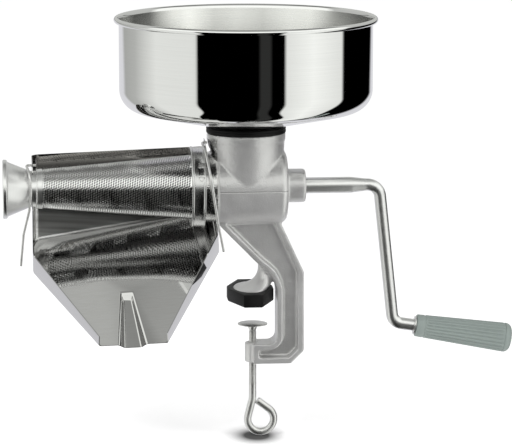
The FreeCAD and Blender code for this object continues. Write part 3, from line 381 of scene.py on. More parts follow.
# %% Aluminium of the casting
cast = Finish("tumbled_cast_aluminium", (0.58, 0.59, 0.56), 0.45, 0.36)
SAND_SCALE, LUMP_SCALE, STAIN_SCALE = 750.0, 120.0, 28.0
SPIGOT_END, PARTING_Z, PARTING_HALF = -0.0305, -0.0005, 0.0008
BARREL_LEFT, BARREL_RIGHT = -0.029, 0.040
sand = cast.noise(cast.place, SAND_SCALE, 3.0)
lumps = cast.noise(cast.place, LUMP_SCALE, 3.0)
stains = cast.noise(cast.place, STAIN_SCALE, 4.0)
x, _, z = cast.parts(cast.moved(PAN_CENTRE))
spigot = 1.0 - (x - SPIGOT_END).band(0.0, 0.0008)
bare = cast.blend(stains.band(0.3, 0.75), grey(0.60, 0.006), grey(0.79, 0.004))
cast.raise_by(sand, 0.0004, 0.6)
cast.raise_by(lumps, 0.0008, 0.30)
# The parting line is a shallow groove in the normals, and its colour is darkened as painted shade
# in the groove.
seam = 1.0 - abs(z - PARTING_Z).band(0.0, PARTING_HALF)
on_barrel = (x - BARREL_LEFT).band(0.0, 0.001) * (BARREL_RIGHT - x).band(0.0, 0.001)
cast.raise_by(seam * on_barrel * -1.0, 0.0005, 0.8)
cast.set("Base Color", cast.blend(seam * on_barrel * 0.6, bare, grey(0.20)))
cast.set("Metallic", 0.65 + spigot * 0.35)
cast.set("Roughness", (0.30 + lumps * 0.14) * (1.0 - spigot * 0.5))
print("finishes so far:", len(bpy.data.materials))


# %% [markdown]
# ## Rubber
# The gasket and the clamp's pad are black moulded rubber, so dark that dust is what shows. A
# broad noise lays the dust, and a fine one gives the dull skin.

# %% Rubber
def black_rubber(name):
    """Black rubber with a dull skin and a trace of dust."""
    finish = Finish(name, (0.006, 0.006, 0.006), 0.0, 0.5, specular_ior_level=0.2)
    grain = finish.noise(finish.place, 800.0, 2.0)
    dust = finish.noise(finish.place, 40.0, 4.0)
    finish.set("Base Color", finish.blend(dust.band(0.45, 0.8), grey(0.004), grey(0.012)))
    finish.set("Roughness", 0.42 + dust * 0.22)
    finish.raise_by(grain, 0.00008, 0.5)
    return finish


rubber = black_rubber("black_rubber")


# %% [markdown]
# ## Plastics
# The grip is grey-green plastic with a satin skin. The auger and the bearing's bush are taken
# to be plastic too, though the photograph doesn't show them. The auger is a middle grey here,
# darker than such augers are, because the photograph is dark behind the cone's holes, so its
# grey is painted shade inside the cone. One function makes all three.

# %% Plastics
def moulded(name, colour, roughness, depth):
    """Moulded plastic whose grain bends the normals by depth metres."""
    finish = Finish(name, colour, 0.0, roughness, specular_ior_level=0.5)
    grain = finish.noise(finish.place, 700.0, 2.0)
    tone = finish.noise(finish.place, 30.0, 3.0)
    darker = (*[value * 0.90 for value in colour], 1.0)
    lighter = (*[value * 1.06 for value in colour], 1.0)
    finish.set("Base Color", finish.blend(tone, darker, lighter))
    finish.set("Roughness", roughness + tone * 0.12)
    finish.raise_by(grain, depth, 0.5)
    return finish


grip_plastic = moulded("grey_green_grip_plastic", (0.262, 0.305, 0.288), 0.36, 0.00006)
# Painted shade: the auger is darker than its plastic would be, for the dark inside the cone.
auger_plastic = moulded("grey_auger_plastic", (0.22, 0.22, 0.21), 0.40, 0.00005)
bearing_plastic = moulded("pale_bearing_plastic", (0.70, 0.70, 0.67), 0.40, 0.00004)


# %% [markdown]
# ## From a mesh to a piece
# Every new piece ends in the same way. `finished` merges its doubles, turns its faces outwards
# and takes it from millimetres to its place. `placed` marks the sharp edges, makes the object
# at the origin, hangs it on the body it rides on and hides the solids it stands for.

# %% Finish a piece
WELD = 0.002


def finished(bm, name, body, slot, finish, *stands_for, sharp=32.0):
    """A piece from a mesh in millimetres about the tower point."""
    bmesh.ops.remove_doubles(bm, verts=bm.verts, dist=WELD)
    bmesh.ops.dissolve_degenerate(bm, edges=bm.edges, dist=WELD / 4)
    bmesh.ops.recalc_face_normals(bm, faces=bm.faces)
    bm.transform(TO_ROW)
    return placed(bm, name, body, slot, finish, *stands_for, sharp=sharp)


def placed(bm, name, body, slot, finish, *stands_for, sharp=32.0):
    """A piece from a mesh that is in its place, in metres, with its normals right."""
    for face in bm.faces:
        face.smooth = True
    limit = math.radians(sharp)
    for edge in bm.edges:
        edge.smooth = len(edge.link_faces) == 2 and edge.calc_face_angle(0.0) < limit
    mesh = bpy.data.meshes.new(name)
    bm.to_mesh(mesh)
    bm.free()
    mesh.materials.append(finish.material)
    made = bpy.data.objects.new(name, mesh)
    scene.collection.objects.link(made)
    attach(made, body)
    if stands_for:
        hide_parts(*stands_for)
    print(name, "faces", len(mesh.polygons))
    return made


# %% [markdown]
# ## Turned pieces
# The pan, the rings, the funnel, the disc and the cap are round about an axis, as a lathe
# would make them. The lathe's outline is drawn once and spun, and `arc` draws its round
# stretches. Edges that would be sharp are then bevelled, because a real edge catches light.

# %% Turn an outline about an axis
def turned(outline, axis="Z", steps=144, edge=0.0, angle=FULL_TURN):
    """A closed outline of (radius, place along the axis), turned into a solid."""
    bm = bmesh.new()
    corners = [bm.verts.new((radius, 0, along)) for radius, along in outline]
    edges = [bm.edges.new(pair) for pair in zip(corners, corners[1:] + corners[:1])]
    bmesh.ops.spin(bm, geom=corners + edges, cent=(0, 0, 0), axis=(0, 0, 1), angle=angle,
                   steps=steps, use_merge=angle == FULL_TURN, use_duplicate=False)
    bmesh.ops.remove_doubles(bm, verts=bm.verts, dist=WELD)
    if edge:
        soften(bm, edge)
    if axis == "X":
        bm.transform(Z_TO_X)
    return bm


def bevelled(bm, edges, width, segments, clamp=True):
    bmesh.ops.bevel(bm, geom=edges, offset=width, offset_type="OFFSET", affect="EDGES",
                    segments=segments, profile=0.5, material=-1, clamp_overlap=clamp)


def soften(bm, width, above=28.0):
    """Rounds the edges whose faces turn by more than an angle."""
    bmesh.ops.recalc_face_normals(bm, faces=bm.faces)
    bevelled(bm, [line for line in bm.edges if len(line.link_faces) == 2
                  and line.calc_face_angle(0.0) > math.radians(above)], width, 3)


def arc(centre, radius, start, end, steps):
    """Points of an arc, with its angles in degrees."""
    return [(centre[0] + radius * math.cos(math.radians(start + (end - start) * step / steps)),
             centre[1] + radius * math.sin(math.radians(start + (end - start) * step / steps)))
            for step in range(steps + 1)]


# %% [markdown]
# ## Bent rods
# The crank, the clips and the screw's eye are bent from rod. A curve with a round bevel could
# make them, but its bends would be only nearly round. A ring that is grown along straight runs
# and turned about each bend's centre gives every bend an exact radius.

# %% Grow a ring
def grown(bm, ring):
    """Extrudes a ring of edges, and gives its new corners and its new edges."""
    made = bmesh.ops.extrude_edge_only(bm, edges=ring)["geom"]
    verts = [item for item in made if isinstance(item, bmesh.types.BMVert)]
    fresh = set(verts)
    return verts, list(dict.fromkeys(edge for vert in verts for edge in vert.link_edges
                                     if all(end in fresh for end in edge.verts)))


def edges_of(verts):
    return list(dict.fromkeys(edge for vert in verts for edge in vert.link_edges))


# %% Bend a rod
class Rod:
    """A round rod that grows from a ring by straight runs and bends."""

    def __init__(self, start, direction, radius, sides=32):
        self.bm = bmesh.new()
        self.place = Vector(start)
        self.direction = Vector(direction).normalized()
        turn = Z_AXIS.rotation_difference(self.direction).to_matrix().to_4x4()
        made = bmesh.ops.create_circle(self.bm, cap_ends=True, radius=radius, segments=sides,
                                       matrix=Matrix.Translation(self.place) @ turn)
        self.ring = edges_of(made["verts"])

    def grow(self):
        verts, self.ring = grown(self.bm, self.ring)
        return verts

    def run(self, length, swell=1.0):
        """Goes straight on, and swells or thins the rod on the way."""
        verts = self.grow()
        step = self.direction * length
        bmesh.ops.translate(self.bm, verts=verts, vec=step)
        self.place = self.place + step
        bmesh.ops.scale(self.bm, verts=verts, vec=(swell,) * 3,
                        space=Matrix.Translation(-self.place))
        return self

    def bend(self, after, radius, steps=10):
        """Turns to a new direction round an arc of that radius."""
        after = Vector(after).normalized()
        angle = self.direction.angle(after)
        axis = self.direction.cross(after).normalized()
        centre = self.place + axis.cross(self.direction) * radius
        turn = Matrix.Rotation(angle / steps, 4, axis)
        for step in range(steps):
            verts = self.grow()
            bmesh.ops.rotate(self.bm, verts=verts, cent=centre, matrix=turn)
            self.place = turn @ (self.place - centre) + centre
        self.direction = after
        return self

    def through(self, points, radii, steps=10):
        """Runs through the points and rounds each corner between them."""
        for corner, beyond, radius in zip(points, points[1:], radii):
            corner, beyond = Vector(corner), Vector(beyond)
            after = (beyond - corner).normalized()
            reach = radius * math.tan(self.direction.angle(after) / 2)
            self.run((corner - self.place).length - reach)
            self.bend(after, radius, steps)
        return self.run((Vector(points[-1]) - self.place).length)

    def end(self, round_by=0.0):
        """Closes the rod, with its edge rounded."""
        if round_by:
            radius = (self.ring[0].verts[0].co - self.place).length
            for step in range(4):
                before = math.radians(22.5 * step)
                after = math.radians(22.5 * (step + 1))
                thin = ((radius - round_by + round_by * math.cos(after))
                        / (radius - round_by + round_by * math.cos(before)))
                self.run(round_by * (math.sin(after) - math.sin(before)), thin)
        bmesh.ops.edgeloop_fill(self.bm, edges=self.ring)
        return self.bm


# %% [markdown]
# ## Copies, cuts and prisms
# A few pieces start from their solid, and a few need holes. A solid's mesh is loose triangles,
# so a copy of it is merged first. Modifiers that are applied to a mesh at once do the remeshing,
# the sheet's thickness and the cuts, and a prism is an outline drawn out along a way.

# %% Copy a solid, apply modifiers, carve, join and cut off
def smooth_copy(node, join=0.00001):
    """A merged copy of a solid's mesh, which is in metres and in its place already."""
    bm = bmesh.new()
    bm.from_mesh(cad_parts[node].data)
    bmesh.ops.remove_doubles(bm, verts=bm.verts, dist=join)
    return bm


def through_modifiers(bm, *modifiers):
    """A mesh after modifiers, each given as (type, settings)."""
    mesh = bpy.data.meshes.new("raw")
    bm.to_mesh(mesh)
    bm.free()
    raw = bpy.data.objects.new("raw", mesh)
    scene.collection.objects.link(raw)
    for kind, settings in modifiers:
        modifier = raw.modifiers.new(kind.title(), kind)
        for key, value in settings.items():
            setattr(modifier, key, value)
    evaluated = raw.evaluated_get(bpy.context.evaluated_depsgraph_get())
    result = bmesh.new()
    result.from_mesh(evaluated.to_mesh())
    evaluated.to_mesh_clear()
    bpy.data.objects.remove(raw)
    bpy.data.meshes.remove(mesh)
    return result


def carved(bm, cutters):
    """A solid less each of the cutters."""
    tools = []
    for cutter in cutters:
        bmesh.ops.recalc_face_normals(cutter, faces=cutter.faces)
        mesh = bpy.data.meshes.new("cutter")
        cutter.to_mesh(mesh)
        cutter.free()
        tools.append(bpy.data.objects.new("cutter", mesh))
        scene.collection.objects.link(tools[-1])
    bmesh.ops.recalc_face_normals(bm, faces=bm.faces)
    bm = through_modifiers(bm, *[
        ("BOOLEAN", {"operation": "DIFFERENCE", "solver": "EXACT", "object": tool})
        for tool in tools])
    for tool in tools:
        mesh = tool.data
        bpy.data.objects.remove(tool)
        bpy.data.meshes.remove(mesh)
    return bm


def joined(bm, *others):
    """One mesh with the others in it, which are used up."""
    for other in others:
        mesh = bpy.data.meshes.new("other")
        other.to_mesh(mesh)
        other.free()
        bm.from_mesh(mesh)
        bpy.data.meshes.remove(mesh)
    return bm


def cut_off(bm, place, way):
    """Cuts a mesh by a plane and drops what lies beyond it."""
    bmesh.ops.bisect_plane(bm, geom=bm.verts[:] + bm.edges[:] + bm.faces[:], plane_co=place,
                           plane_no=way, clear_outer=True)


def prism(corners, way):
    """A flat outline, drawn out to a solid along a way."""
    bm = bmesh.new()
    face = bm.faces.new([bm.verts.new(corner) for corner in corners])
    drawn = bmesh.ops.extrude_face_region(bm, geom=[face])["geom"]
    far_side = [item for item in drawn if isinstance(item, bmesh.types.BMVert)]
    bmesh.ops.translate(bm, verts=far_side, vec=way)
    bmesh.ops.recalc_face_normals(bm, faces=bm.faces)
    return bm


# %% [markdown]
# ## The pan
# The pan is spun from one sheet. Its wall is straight, its lower corner is a large round, its
# floor is a shallow cone, and its rim is rolled into a bead. One outline with a wall
# thickness, turned about the upright axis, gives all of that.

# %% Pan
WALL, SHEET, SLOPE, CORNER = 125.75, 0.9, 0.213, 22.0
SPOUT, SPOUT_LOW, BOWL_LOW, RIM = 33.6, 38.0, 60.9, 167.2
tilt = math.degrees(math.atan(SLOPE))
corner_x = WALL - CORNER
floor_rise = SLOPE * (corner_x + CORNER * math.sin(math.radians(tilt)) - SPOUT)
corner_z = BOWL_LOW + floor_rise + CORNER * math.cos(math.radians(tilt))
outer_corner = arc((corner_x, corner_z), CORNER, -90 + tilt, 0, 14)
inner_corner = arc((corner_x, corner_z), CORNER - SHEET, 0, -90 + tilt, 14)
bead = arc((WALL + 2.3, RIM), 2.75, -146, 178, 26)
spout_round = arc((SPOUT + 2.0, BOWL_LOW - 1.6), 2.0, 180, 90 + tilt, 4)
pan_outline = ([(SPOUT, SPOUT_LOW), (SPOUT, BOWL_LOW - 2.0)] + spout_round[1:] + outer_corner
               + bead + [(WALL - SHEET, RIM - 1.2)] + inner_corner
               + [(SPOUT - SHEET + 3.2, BOWL_LOW + 1.75), (SPOUT - SHEET + 1.0, BOWL_LOW + 0.9),
                  (SPOUT - SHEET, BOWL_LOW - 0.4), (SPOUT - SHEET, SPOUT_LOW)])
pan = finished(turned(pan_outline, steps=224), "hopper_pan", "base", "stainless", pan_steel,
               "hopper", sharp=50)
pan.data.materials.append(pan_inside.material)
INSIDE_TOP = row_place(0, 0, RIM - 2).z
for face in pan.data.polygons:
    outward = Vector((face.center.x - PAN_CENTRE.x, face.center.y, 0)).normalized()
    faces_in = face.normal.dot(outward) < -0.3 or face.normal.z > 0.3
    if faces_in and face.center.z < INSIDE_TOP:
        face.material_index = 1

# %% [markdown]
# ## The gasket
# A rubber ring seals the pan's spout in the casting's neck and shows as a black band. Its
# outline, with two shallow beads, is turned.

# %% Gasket
gasket_outline = [(33.65, 54.5), (39.2, 54.5), (39.75, 55.4), (39.75, 57.4), (39.2, 58.0),
                  (39.75, 58.6), (39.75, 59.3), (39.2, 60.1), (33.65, 60.1)]
finished(turned(gasket_outline, steps=120, edge=0.25), "gasket_ring", "base", "black_rubber",
         rubber, "hopper_gasket")

# %% [markdown]
# ## The casting
# Sand casting leaves no crisp edge: every corner is rounded, and walls flow into each other.
# A voxel remesh of the solid makes an even skin, and smoothing then rounds all its edges and
# fillets all its inner corners at once, which would be tedious with single bevels. In the
# solid the jaw's foot stands out of the web inside the frame's recess, so a prism on each side
# first cuts it flush.

# %% Casting
VOXEL, SMOOTHINGS, WEB_HALF, RECESS_DEPTH = 0.00125, 4, 4.0, 11.5
recess_end = [(13.0, -70.6), (25.9, -81.4), (30.0, -84.6), (34.0, -80.0), (30.0, -62.0),
              (4.7, -62.0)]
recesses = [prism([(x, WEB_HALF * side, z) for x, z in recess_end], (0, RECESS_DEPTH * side, 0))
            for side in (-1, 1)]
for recess in recesses:
    recess.transform(TO_ROW)
casting = through_modifiers(
    carved(smooth_copy("body_casting"), recesses),
    ("REMESH", {"mode": "VOXEL", "voxel_size": VOXEL, "use_smooth_shade": True}),
    ("SMOOTH", {"factor": 0.5, "iterations": SMOOTHINGS}))
placed(casting, "casting_body", "base", "cast_aluminium", cast, "body_casting", sharp=180)

# %% [markdown]
# ## The collar
# The collar is a polished ring that turns by hand and pulls the cone against the casting. Two
# slots run round two pins. It is turned with a bead at each edge, and each slot is cut out by
# two sectors of a ring: the way round, and the way out at the collar's edge. The closed end
# of a slot is straight and lies at its pin's middle, so at rest the ring covers half the pin.

# %% Collar
NUT_LEFT, NUT_RIGHT, NUT, BORE, CONE_LARGE = -56.0, -42.0, 40.8, 35.3, 32.2
SHOULDER = -53.4
collar_outline = ([(CONE_LARGE + 0.4, NUT_LEFT), (38.6, NUT_LEFT)]
                  + arc((39.3, NUT_LEFT + 1.3), 1.3, -90, 70, 6)
                  + [(39.9, NUT_LEFT + 3.0), (39.7, NUT_LEFT + 4.0), (39.7, NUT_RIGHT - 3.4),
                     (39.9, NUT_RIGHT - 2.6)]
                  + arc((39.7, NUT_RIGHT - 1.1), 1.0, -60, 80, 6)
                  + [(38.9, NUT_RIGHT), (BORE, NUT_RIGHT), (BORE, SHOULDER),
                     (CONE_LARGE + 0.4, SHOULDER)])
collar = turned(collar_outline, "X", steps=180)
PIN_PLACE, PIN_RADIUS, PIN_ANGLE, PIN_TURN = -46.6, 2.6, 20.0, 20.0
PIN_FOOT, PIN_HEIGHT, PIN_GAP = 31.0, 8.2, 0.3
CUT_INNER, CUT_OUTER, CUT_MIDDLE = 33.5, 44.0, 36.0


def about_axis(bm, angle):
    """Turns what was drawn below the auger's axis to an angle above the front."""
    bmesh.ops.rotate(bm, verts=bm.verts, cent=(0, 0, 0),
                     matrix=Matrix.Rotation(math.radians(-90 - angle), 3, "X"))
    return bm


def sector(left, right, start, stop):
    """A part of a ring that is thick enough to cut the collar's wall."""
    bm = turned([(CUT_INNER, left), (CUT_OUTER, left), (CUT_OUTER, right), (CUT_INNER, right)],
                "X", steps=10, angle=math.radians(stop - start))
    bmesh.ops.holes_fill(bm, edges=bm.edges)
    return about_axis(bm, stop)


def slot_cutters(angle):
    """The way of one pin: round the collar, and out at its edge."""
    reach = PIN_RADIUS + PIN_GAP
    end = angle + PIN_TURN
    half = math.degrees(reach / CUT_MIDDLE)
    return [sector(PIN_PLACE - reach, PIN_PLACE + reach, angle, end),
            sector(PIN_PLACE - reach, NUT_RIGHT + 1, end - half, end + half)]


collar = carved(collar, slot_cutters(PIN_ANGLE) + slot_cutters(PIN_ANGLE + 180))
finished(collar, "collar_ring", "collar", "bright_steel", collar_steel, "ring_nut", sharp=30)

# %% [markdown]
# ## The pins
# Two zinc plated pins stand in the casting's spigot, opposite each other, and the slots turn
# round them. Each is a short rod with a rounded end, drawn below the axis and turned about it.

# %% Pins in the collar's slots
pins = joined(bmesh.new(), *[
    about_axis(Rod((PIN_PLACE, 0, -PIN_FOOT), -Z_AXIS, PIN_RADIUS, 28).run(PIN_HEIGHT).end(0.8),
               angle)
    for angle in (PIN_ANGLE, PIN_ANGLE + 180)])
finished(pins, "collar_pins", "base", "zinc_steel", zinc, "bayonet_pins")

# %% [markdown]
# ## The perforated cone
# The sheet is punched flat and rolled up, so its holes keep one pitch over the whole cone.
# The mesh is made the same way: a flat grid is leaned so that its rows are staggered, each
# cell gets a round hole, the sheet is cut to the cone's flat pattern and is then rolled.

# %% Flat pattern of the cone
CONE_LEFT, CONE_RIGHT, CONE_SMALL, CONE_SHEET = -209.0, -53.0, 18.8, 0.7
PITCH, HOLE, MARGIN, PRESSED_IN = 2.7, 0.88, 3.2, 0.10
SEAM_TURN = math.radians(225)
SPREAD_SPARE, WHOLE_CELL, SEAM_MARGIN, HOLE_INSET, HOLE_REACH = 0.015, 0.97, 1.3, 0.42, 0.48
cone_angle = math.atan2(CONE_LARGE - CONE_SMALL, CONE_RIGHT - CONE_LEFT)
near, far = CONE_SMALL / math.sin(cone_angle), CONE_LARGE / math.sin(cone_angle)
half_spread = math.pi * math.sin(cone_angle)
row_step = PITCH * math.sqrt(3) / 2
first_row = near * math.cos(half_spread) - 2 * row_step
rows = math.ceil((far + row_step - first_row) / row_step)
half_width = far * math.sin(half_spread) + PITCH
lean = PITCH / 2 * rows
columns = math.ceil((2 * half_width + lean) / PITCH)
sheet = bmesh.new()
bmesh.ops.create_grid(sheet, x_segments=rows, y_segments=columns, size=0.5)
for vert in sheet.verts:
    row = (vert.co.x + 0.5) * rows
    vert.co.x = first_row + row * row_step
    vert.co.y = (vert.co.y + 0.5) * columns * PITCH - half_width - lean + row * PITCH / 2


def flat_place(point):
    """A flat point's distance from the cone's tip and its angle from the middle."""
    return math.hypot(point.x, point.y), math.atan2(point.y, point.x)


outside_sheet = []
for face in sheet.faces:
    distance, angle = flat_place(face.calc_center_median())
    if not (near - PITCH < distance < far + PITCH
            and abs(angle) < half_spread + SPREAD_SPARE):
        outside_sheet.append(face)
bmesh.ops.delete(sheet, geom=outside_sheet, context="FACES")
for side in (-1, 1):
    cut_off(sheet, (0, 0, 0), (-math.sin(half_spread), side * math.cos(half_spread), 0))
print("cells in the flat sheet:", len(sheet.faces))

# %% [markdown]
# ## Holes and roll
# A punch presses the edge of each hole in a little. Every whole cell away from the edges is
# inset, its middle is deleted, and the rim's corners go to a circle. Rolling takes a flat
# point's distance from the tip and its angle to a place on the cone. The photograph shows no
# seam, so the seam is turned to the back.

# %% Punch the holes, roll the sheet up and give it its thickness
cell_area = PITCH * row_step
tops = []
for face in sheet.faces:
    distance, angle = flat_place(face.calc_center_median())
    if (face.calc_area() > cell_area * WHOLE_CELL and near + MARGIN < distance < far - MARGIN
            and abs(angle) < half_spread - SEAM_MARGIN * PITCH / distance):
        tops.append(face)
bmesh.ops.inset_individual(sheet, faces=tops, thickness=HOLE_INSET)
rims = list(dict.fromkeys(edge for face in tops for edge in face.edges))
centres = KDTree(len(tops))
for index, face in enumerate(tops):
    centres.insert(face.calc_center_median(), index)
centres.balance()
bmesh.ops.delete(sheet, geom=tops, context="FACES_ONLY")
bmesh.ops.subdivide_edges(sheet, edges=rims, cuts=1)
punched = set()
for vert in sheet.verts:
    centre, _, distance = centres.find(vert.co)
    if vert.is_boundary and distance < PITCH * HOLE_REACH:
        vert.co = centre + (vert.co - centre).normalized() * HOLE
        punched.add(vert)
tip_place = CONE_LEFT - near * math.cos(cone_angle)
for vert in sheet.verts:
    distance, angle = flat_place(vert.co)
    around = angle / math.sin(cone_angle) + SEAM_TURN
    radius = distance * math.sin(cone_angle) - (PRESSED_IN if vert in punched else 0.0)
    vert.co = (tip_place + distance * math.cos(cone_angle), radius * math.sin(around),
               radius * math.cos(around))
for place, side in ((CONE_LEFT, -1), (CONE_RIGHT, 1)):
    cut_off(sheet, (place, 0, 0), (side, 0, 0))
sheet.normal_update()
inward = [face for face in sheet.faces
          if face.normal.dot(Vector((0, *face.calc_center_median().yz))) < 0]
bmesh.ops.reverse_faces(sheet, faces=inward)
sheet = through_modifiers(sheet, ("SOLIDIFY", {"thickness": CONE_SHEET, "offset": -1.0}))
finished(sheet, "cone_sheet", "base", "perforated_steel", cone_steel, "strainer_cone", sharp=40)

# %% [markdown]
# ## Rings at the cone's ends
# A plain ring stiffens the cone's small end, and a flange at its large end is what the collar
# pulls on. The waste funnel is spun sheet: a sleeve that flares to a rolled rim.

# %% Flange, end ring and funnel
FLANGE_BORE, FLANGE, FLANGE_RIGHT = 31.2, 34.7, -52.0
flange_outline = [(FLANGE_BORE, CONE_RIGHT - 0.6), (CONE_LARGE + 0.1, CONE_RIGHT - 0.6),
                  (CONE_LARGE + 0.1, CONE_RIGHT), (FLANGE, CONE_RIGHT), (FLANGE, FLANGE_RIGHT),
                  (FLANGE_BORE, FLANGE_RIGHT)]
finished(turned(flange_outline, "X", edge=0.15), "cone_flange", "base", "perforated_steel",
         cone_steel)
slope = (CONE_LARGE - CONE_SMALL) / (CONE_RIGHT - CONE_LEFT)
band_low = CONE_SMALL + 0.03
BAND_WIDTH = 6
band_outline = ([(band_low, CONE_LEFT), (band_low + 1.0, CONE_LEFT)]
                + arc((band_low + 0.75, CONE_LEFT + 0.8), 0.62, -40, 100, 5)
                + [(band_low + 0.75, CONE_LEFT + 1.9),
                   (band_low + 0.75 + slope * BAND_WIDTH, CONE_LEFT + BAND_WIDTH),
                   (band_low + slope * BAND_WIDTH, CONE_LEFT + BAND_WIDTH)])
finished(turned(band_outline, "X", steps=112), "cone_end_ring", "base", "stainless", funnel_steel,
         "cone_end_band")
FUNNEL_RIM, FUNNEL_LEFT, FUNNEL_NECK, FUNNEL_SHEET = 29.4, -242.0, -215.5, 0.8
SLEEVE_END = -201.0
sleeve = CONE_SMALL - CONE_SHEET - 0.05
funnel_outline = ([(sleeve - FUNNEL_SHEET, SLEEVE_END), (sleeve, SLEEVE_END),
                   (sleeve, FUNNEL_NECK + 2.0),
                   (sleeve + 0.5, FUNNEL_NECK - 0.4), (FUNNEL_RIM - 2.4, FUNNEL_LEFT + 5.4),
                   (FUNNEL_RIM - 1.5, FUNNEL_LEFT + 4.6)]
                  + arc((FUNNEL_RIM - 1.4, FUNNEL_LEFT + 3.2), 1.3, 80, -10, 5)
                  + arc((FUNNEL_RIM - 1.3, FUNNEL_LEFT + 1.3), 1.3, 0, -150, 8)
                  + [(FUNNEL_RIM - 2.6, FUNNEL_LEFT + 3.6),
                     (sleeve - FUNNEL_SHEET + 0.5, FUNNEL_NECK - 0.4),
                     (sleeve - FUNNEL_SHEET, FUNNEL_NECK + 2.0)])
finished(turned(funnel_outline, "X", steps=144), "funnel_mouth", "base", "stainless", funnel_steel,
         "waste_funnel", sharp=50)

# %% [markdown]
# ## The juice chute
# The chute is one folded sheet: a sloping floor with a pressed pouring groove, a back with a
# hood, two side walls and two end plates. It is drawn as flat faces without thickness, each
# fold is then rounded, and the sheet gets its thickness inwards. Notches and holes come last.
# This cell finds the corners where the folds meet.

# %% Corners of the folded sheet
CHUTE_BACK, CHUTE_LEFT, CHUTE_RIGHT, CHUTE_LEAN = 43.0, -213.0, -31.0, 0.13
CREASE_LEFT, CREASE_RIGHT, CHUTE_WALL, CHUTE_SHEET = -59.0, -30.5, 32.0, 0.8
LEFT_NECK, RIGHT_NECK, EAR_RISE, EAR_ROUND = 18.4, 35.3, 9.2, 3.5
GROOVE_DEPTH, STEP_DEPTH, GROOVE_TOP_HALF, STEP_HALF, WALL_SHARE = 5.5, 3.6, 5.6, 4.2, 0.55
crease_slope = (CREASE_RIGHT - CREASE_LEFT) / (CHUTE_RIGHT - CHUTE_LEFT)


def on_floor(x, y):
    """A point of the chute's floor, which slopes at 45 degrees to the front."""
    crease = CREASE_LEFT + (x - CHUTE_LEFT) * crease_slope
    return Vector((x, y, crease + y - CHUTE_BACK))


def right_plate_x(z):
    """The right end plate leans away from the casting's neck."""
    return CHUTE_RIGHT - CHUTE_LEAN * (z - CREASE_RIGHT)


floor_normal = Vector((-crease_slope, -1, 1)).normalized()
rise = floor_normal * CHUTE_WALL
rise_left = Vector((0, rise.y, rise.z))
rise_right = Vector((-CHUTE_LEAN * rise.z, rise.y, rise.z))
back_left, back_right = on_floor(CHUTE_LEFT, CHUTE_BACK), on_floor(CHUTE_RIGHT, CHUTE_BACK)
side_left = on_floor(CHUTE_LEFT, 14.0)
side_right = on_floor(right_plate_x(on_floor(CHUTE_RIGHT, 5.0).z), 5.0)
lip_left, lip_right = on_floor(-150.0, -56.5), on_floor(-81.5, -63.5)


def on_lip(x, drop=0.0):
    """A point of the chute's front edge, sunk below the floor by a drop."""
    share = (x - lip_left.x) / (lip_right.x - lip_left.x)
    return on_floor(x, lip_left.y + share * (lip_right.y - lip_left.y)) - floor_normal * drop


groove_left, groove_right = on_lip(-130.5), on_lip(-102.5)
sunk_left, sunk_right = on_lip(-124.9, GROOVE_DEPTH), on_lip(-108.1, GROOVE_DEPTH)
along_lip = (lip_right - lip_left).normalized()
groove_top = on_floor(-120.4, -16.0)
groove_step = on_floor(-120.0, -20.5) - floor_normal * STEP_DEPTH
top_left, top_right = [groove_top + along_lip * GROOVE_TOP_HALF * side for side in (-1, 1)]
step_left, step_right = [groove_step + along_lip * STEP_HALF * side for side in (-1, 1)]
hood_left = Vector((CHUTE_LEFT, CHUTE_BACK, 28.0))
hood_right = Vector((right_plate_x(34.5), CHUTE_BACK, 34.5))
left_wall_top = [side_left + rise_left, lip_left + rise_left * WALL_SHARE]
right_wall_top = [side_right + rise_right, lip_right + rise_right * WALL_SHARE]
left_plate = [Vector((CHUTE_LEFT, y, z)) for y, z in (
    (-LEFT_NECK - 6.0, -LEFT_NECK - 8.0), (-LEFT_NECK - 6.0, LEFT_NECK + 2.0),
    (-LEFT_NECK - 4.0, LEFT_NECK + 6.5), (-LEFT_NECK + 2.0, 28.0))]
EAR_TOP = RIGHT_NECK + EAR_RISE + EAR_ROUND
right_plate = [Vector((right_plate_x(z), y, z)) for y, z in (
    (-RIGHT_NECK - 1.0, -RIGHT_NECK - 2.0), (-RIGHT_NECK - 1.0, -8.0),
    (-RIGHT_NECK + 15.0, EAR_TOP - 14.0), (-6.0, EAR_TOP), (8.0, EAR_TOP))]
print("the floor meets the back at", [round(value, 1) for value in back_left])

# %% [markdown]
# ## Folds
# Faces that share corners become one surface once their doubles are merged. A fold is then a
# bevelled edge: tight along the groove, wide at the back's left edge, where the photograph
# shows a soft round, and plain elsewhere.

# %% Fold the sheet
GROOVE_FOLD, WIDE_FOLD, PLAIN_FOLD, SHORTEST_FOLD = 1.7, 8.0, 2.4, 9.0
folded = bmesh.new()
sheets = [
    [back_left, side_left, lip_left, groove_left, top_left, top_right, groove_right, lip_right,
     side_right, back_right],
    [top_left, groove_left, sunk_left, step_left],
    [top_left, step_left, step_right, top_right],
    [step_left, sunk_left, sunk_right, step_right],
    [top_right, step_right, sunk_right, groove_right],
    [back_left, back_right, hood_right, hood_left],
    [side_left, left_wall_top[0], left_wall_top[1], lip_left],
    [side_right, lip_right, right_wall_top[1], right_wall_top[0]],
    [back_left, hood_left] + left_plate[::-1] + [left_wall_top[0], side_left],
    [back_right, side_right, right_wall_top[0]] + right_plate + [hood_right],
]
for corners in sheets:
    folded.faces.new([folded.verts.new(corner) for corner in corners])
bmesh.ops.remove_doubles(folded, verts=folded.verts, dist=0.01)
bmesh.ops.recalc_face_normals(folded, faces=folded.faces)
floor_face = max(folded.faces, key=lambda face: (
    face.calc_area() * abs(face.normal.dot(floor_normal))))
if floor_face.normal.dot(floor_normal) > 0:
    bmesh.ops.reverse_faces(folded, faces=folded.faces)
groove_points = (top_left, top_right, step_left, step_right, groove_left, groove_right,
                 sunk_left, sunk_right)


def in_groove(edge):
    return all(min((vert.co - point).length for point in groove_points) < 0.02
               for vert in edge.verts)


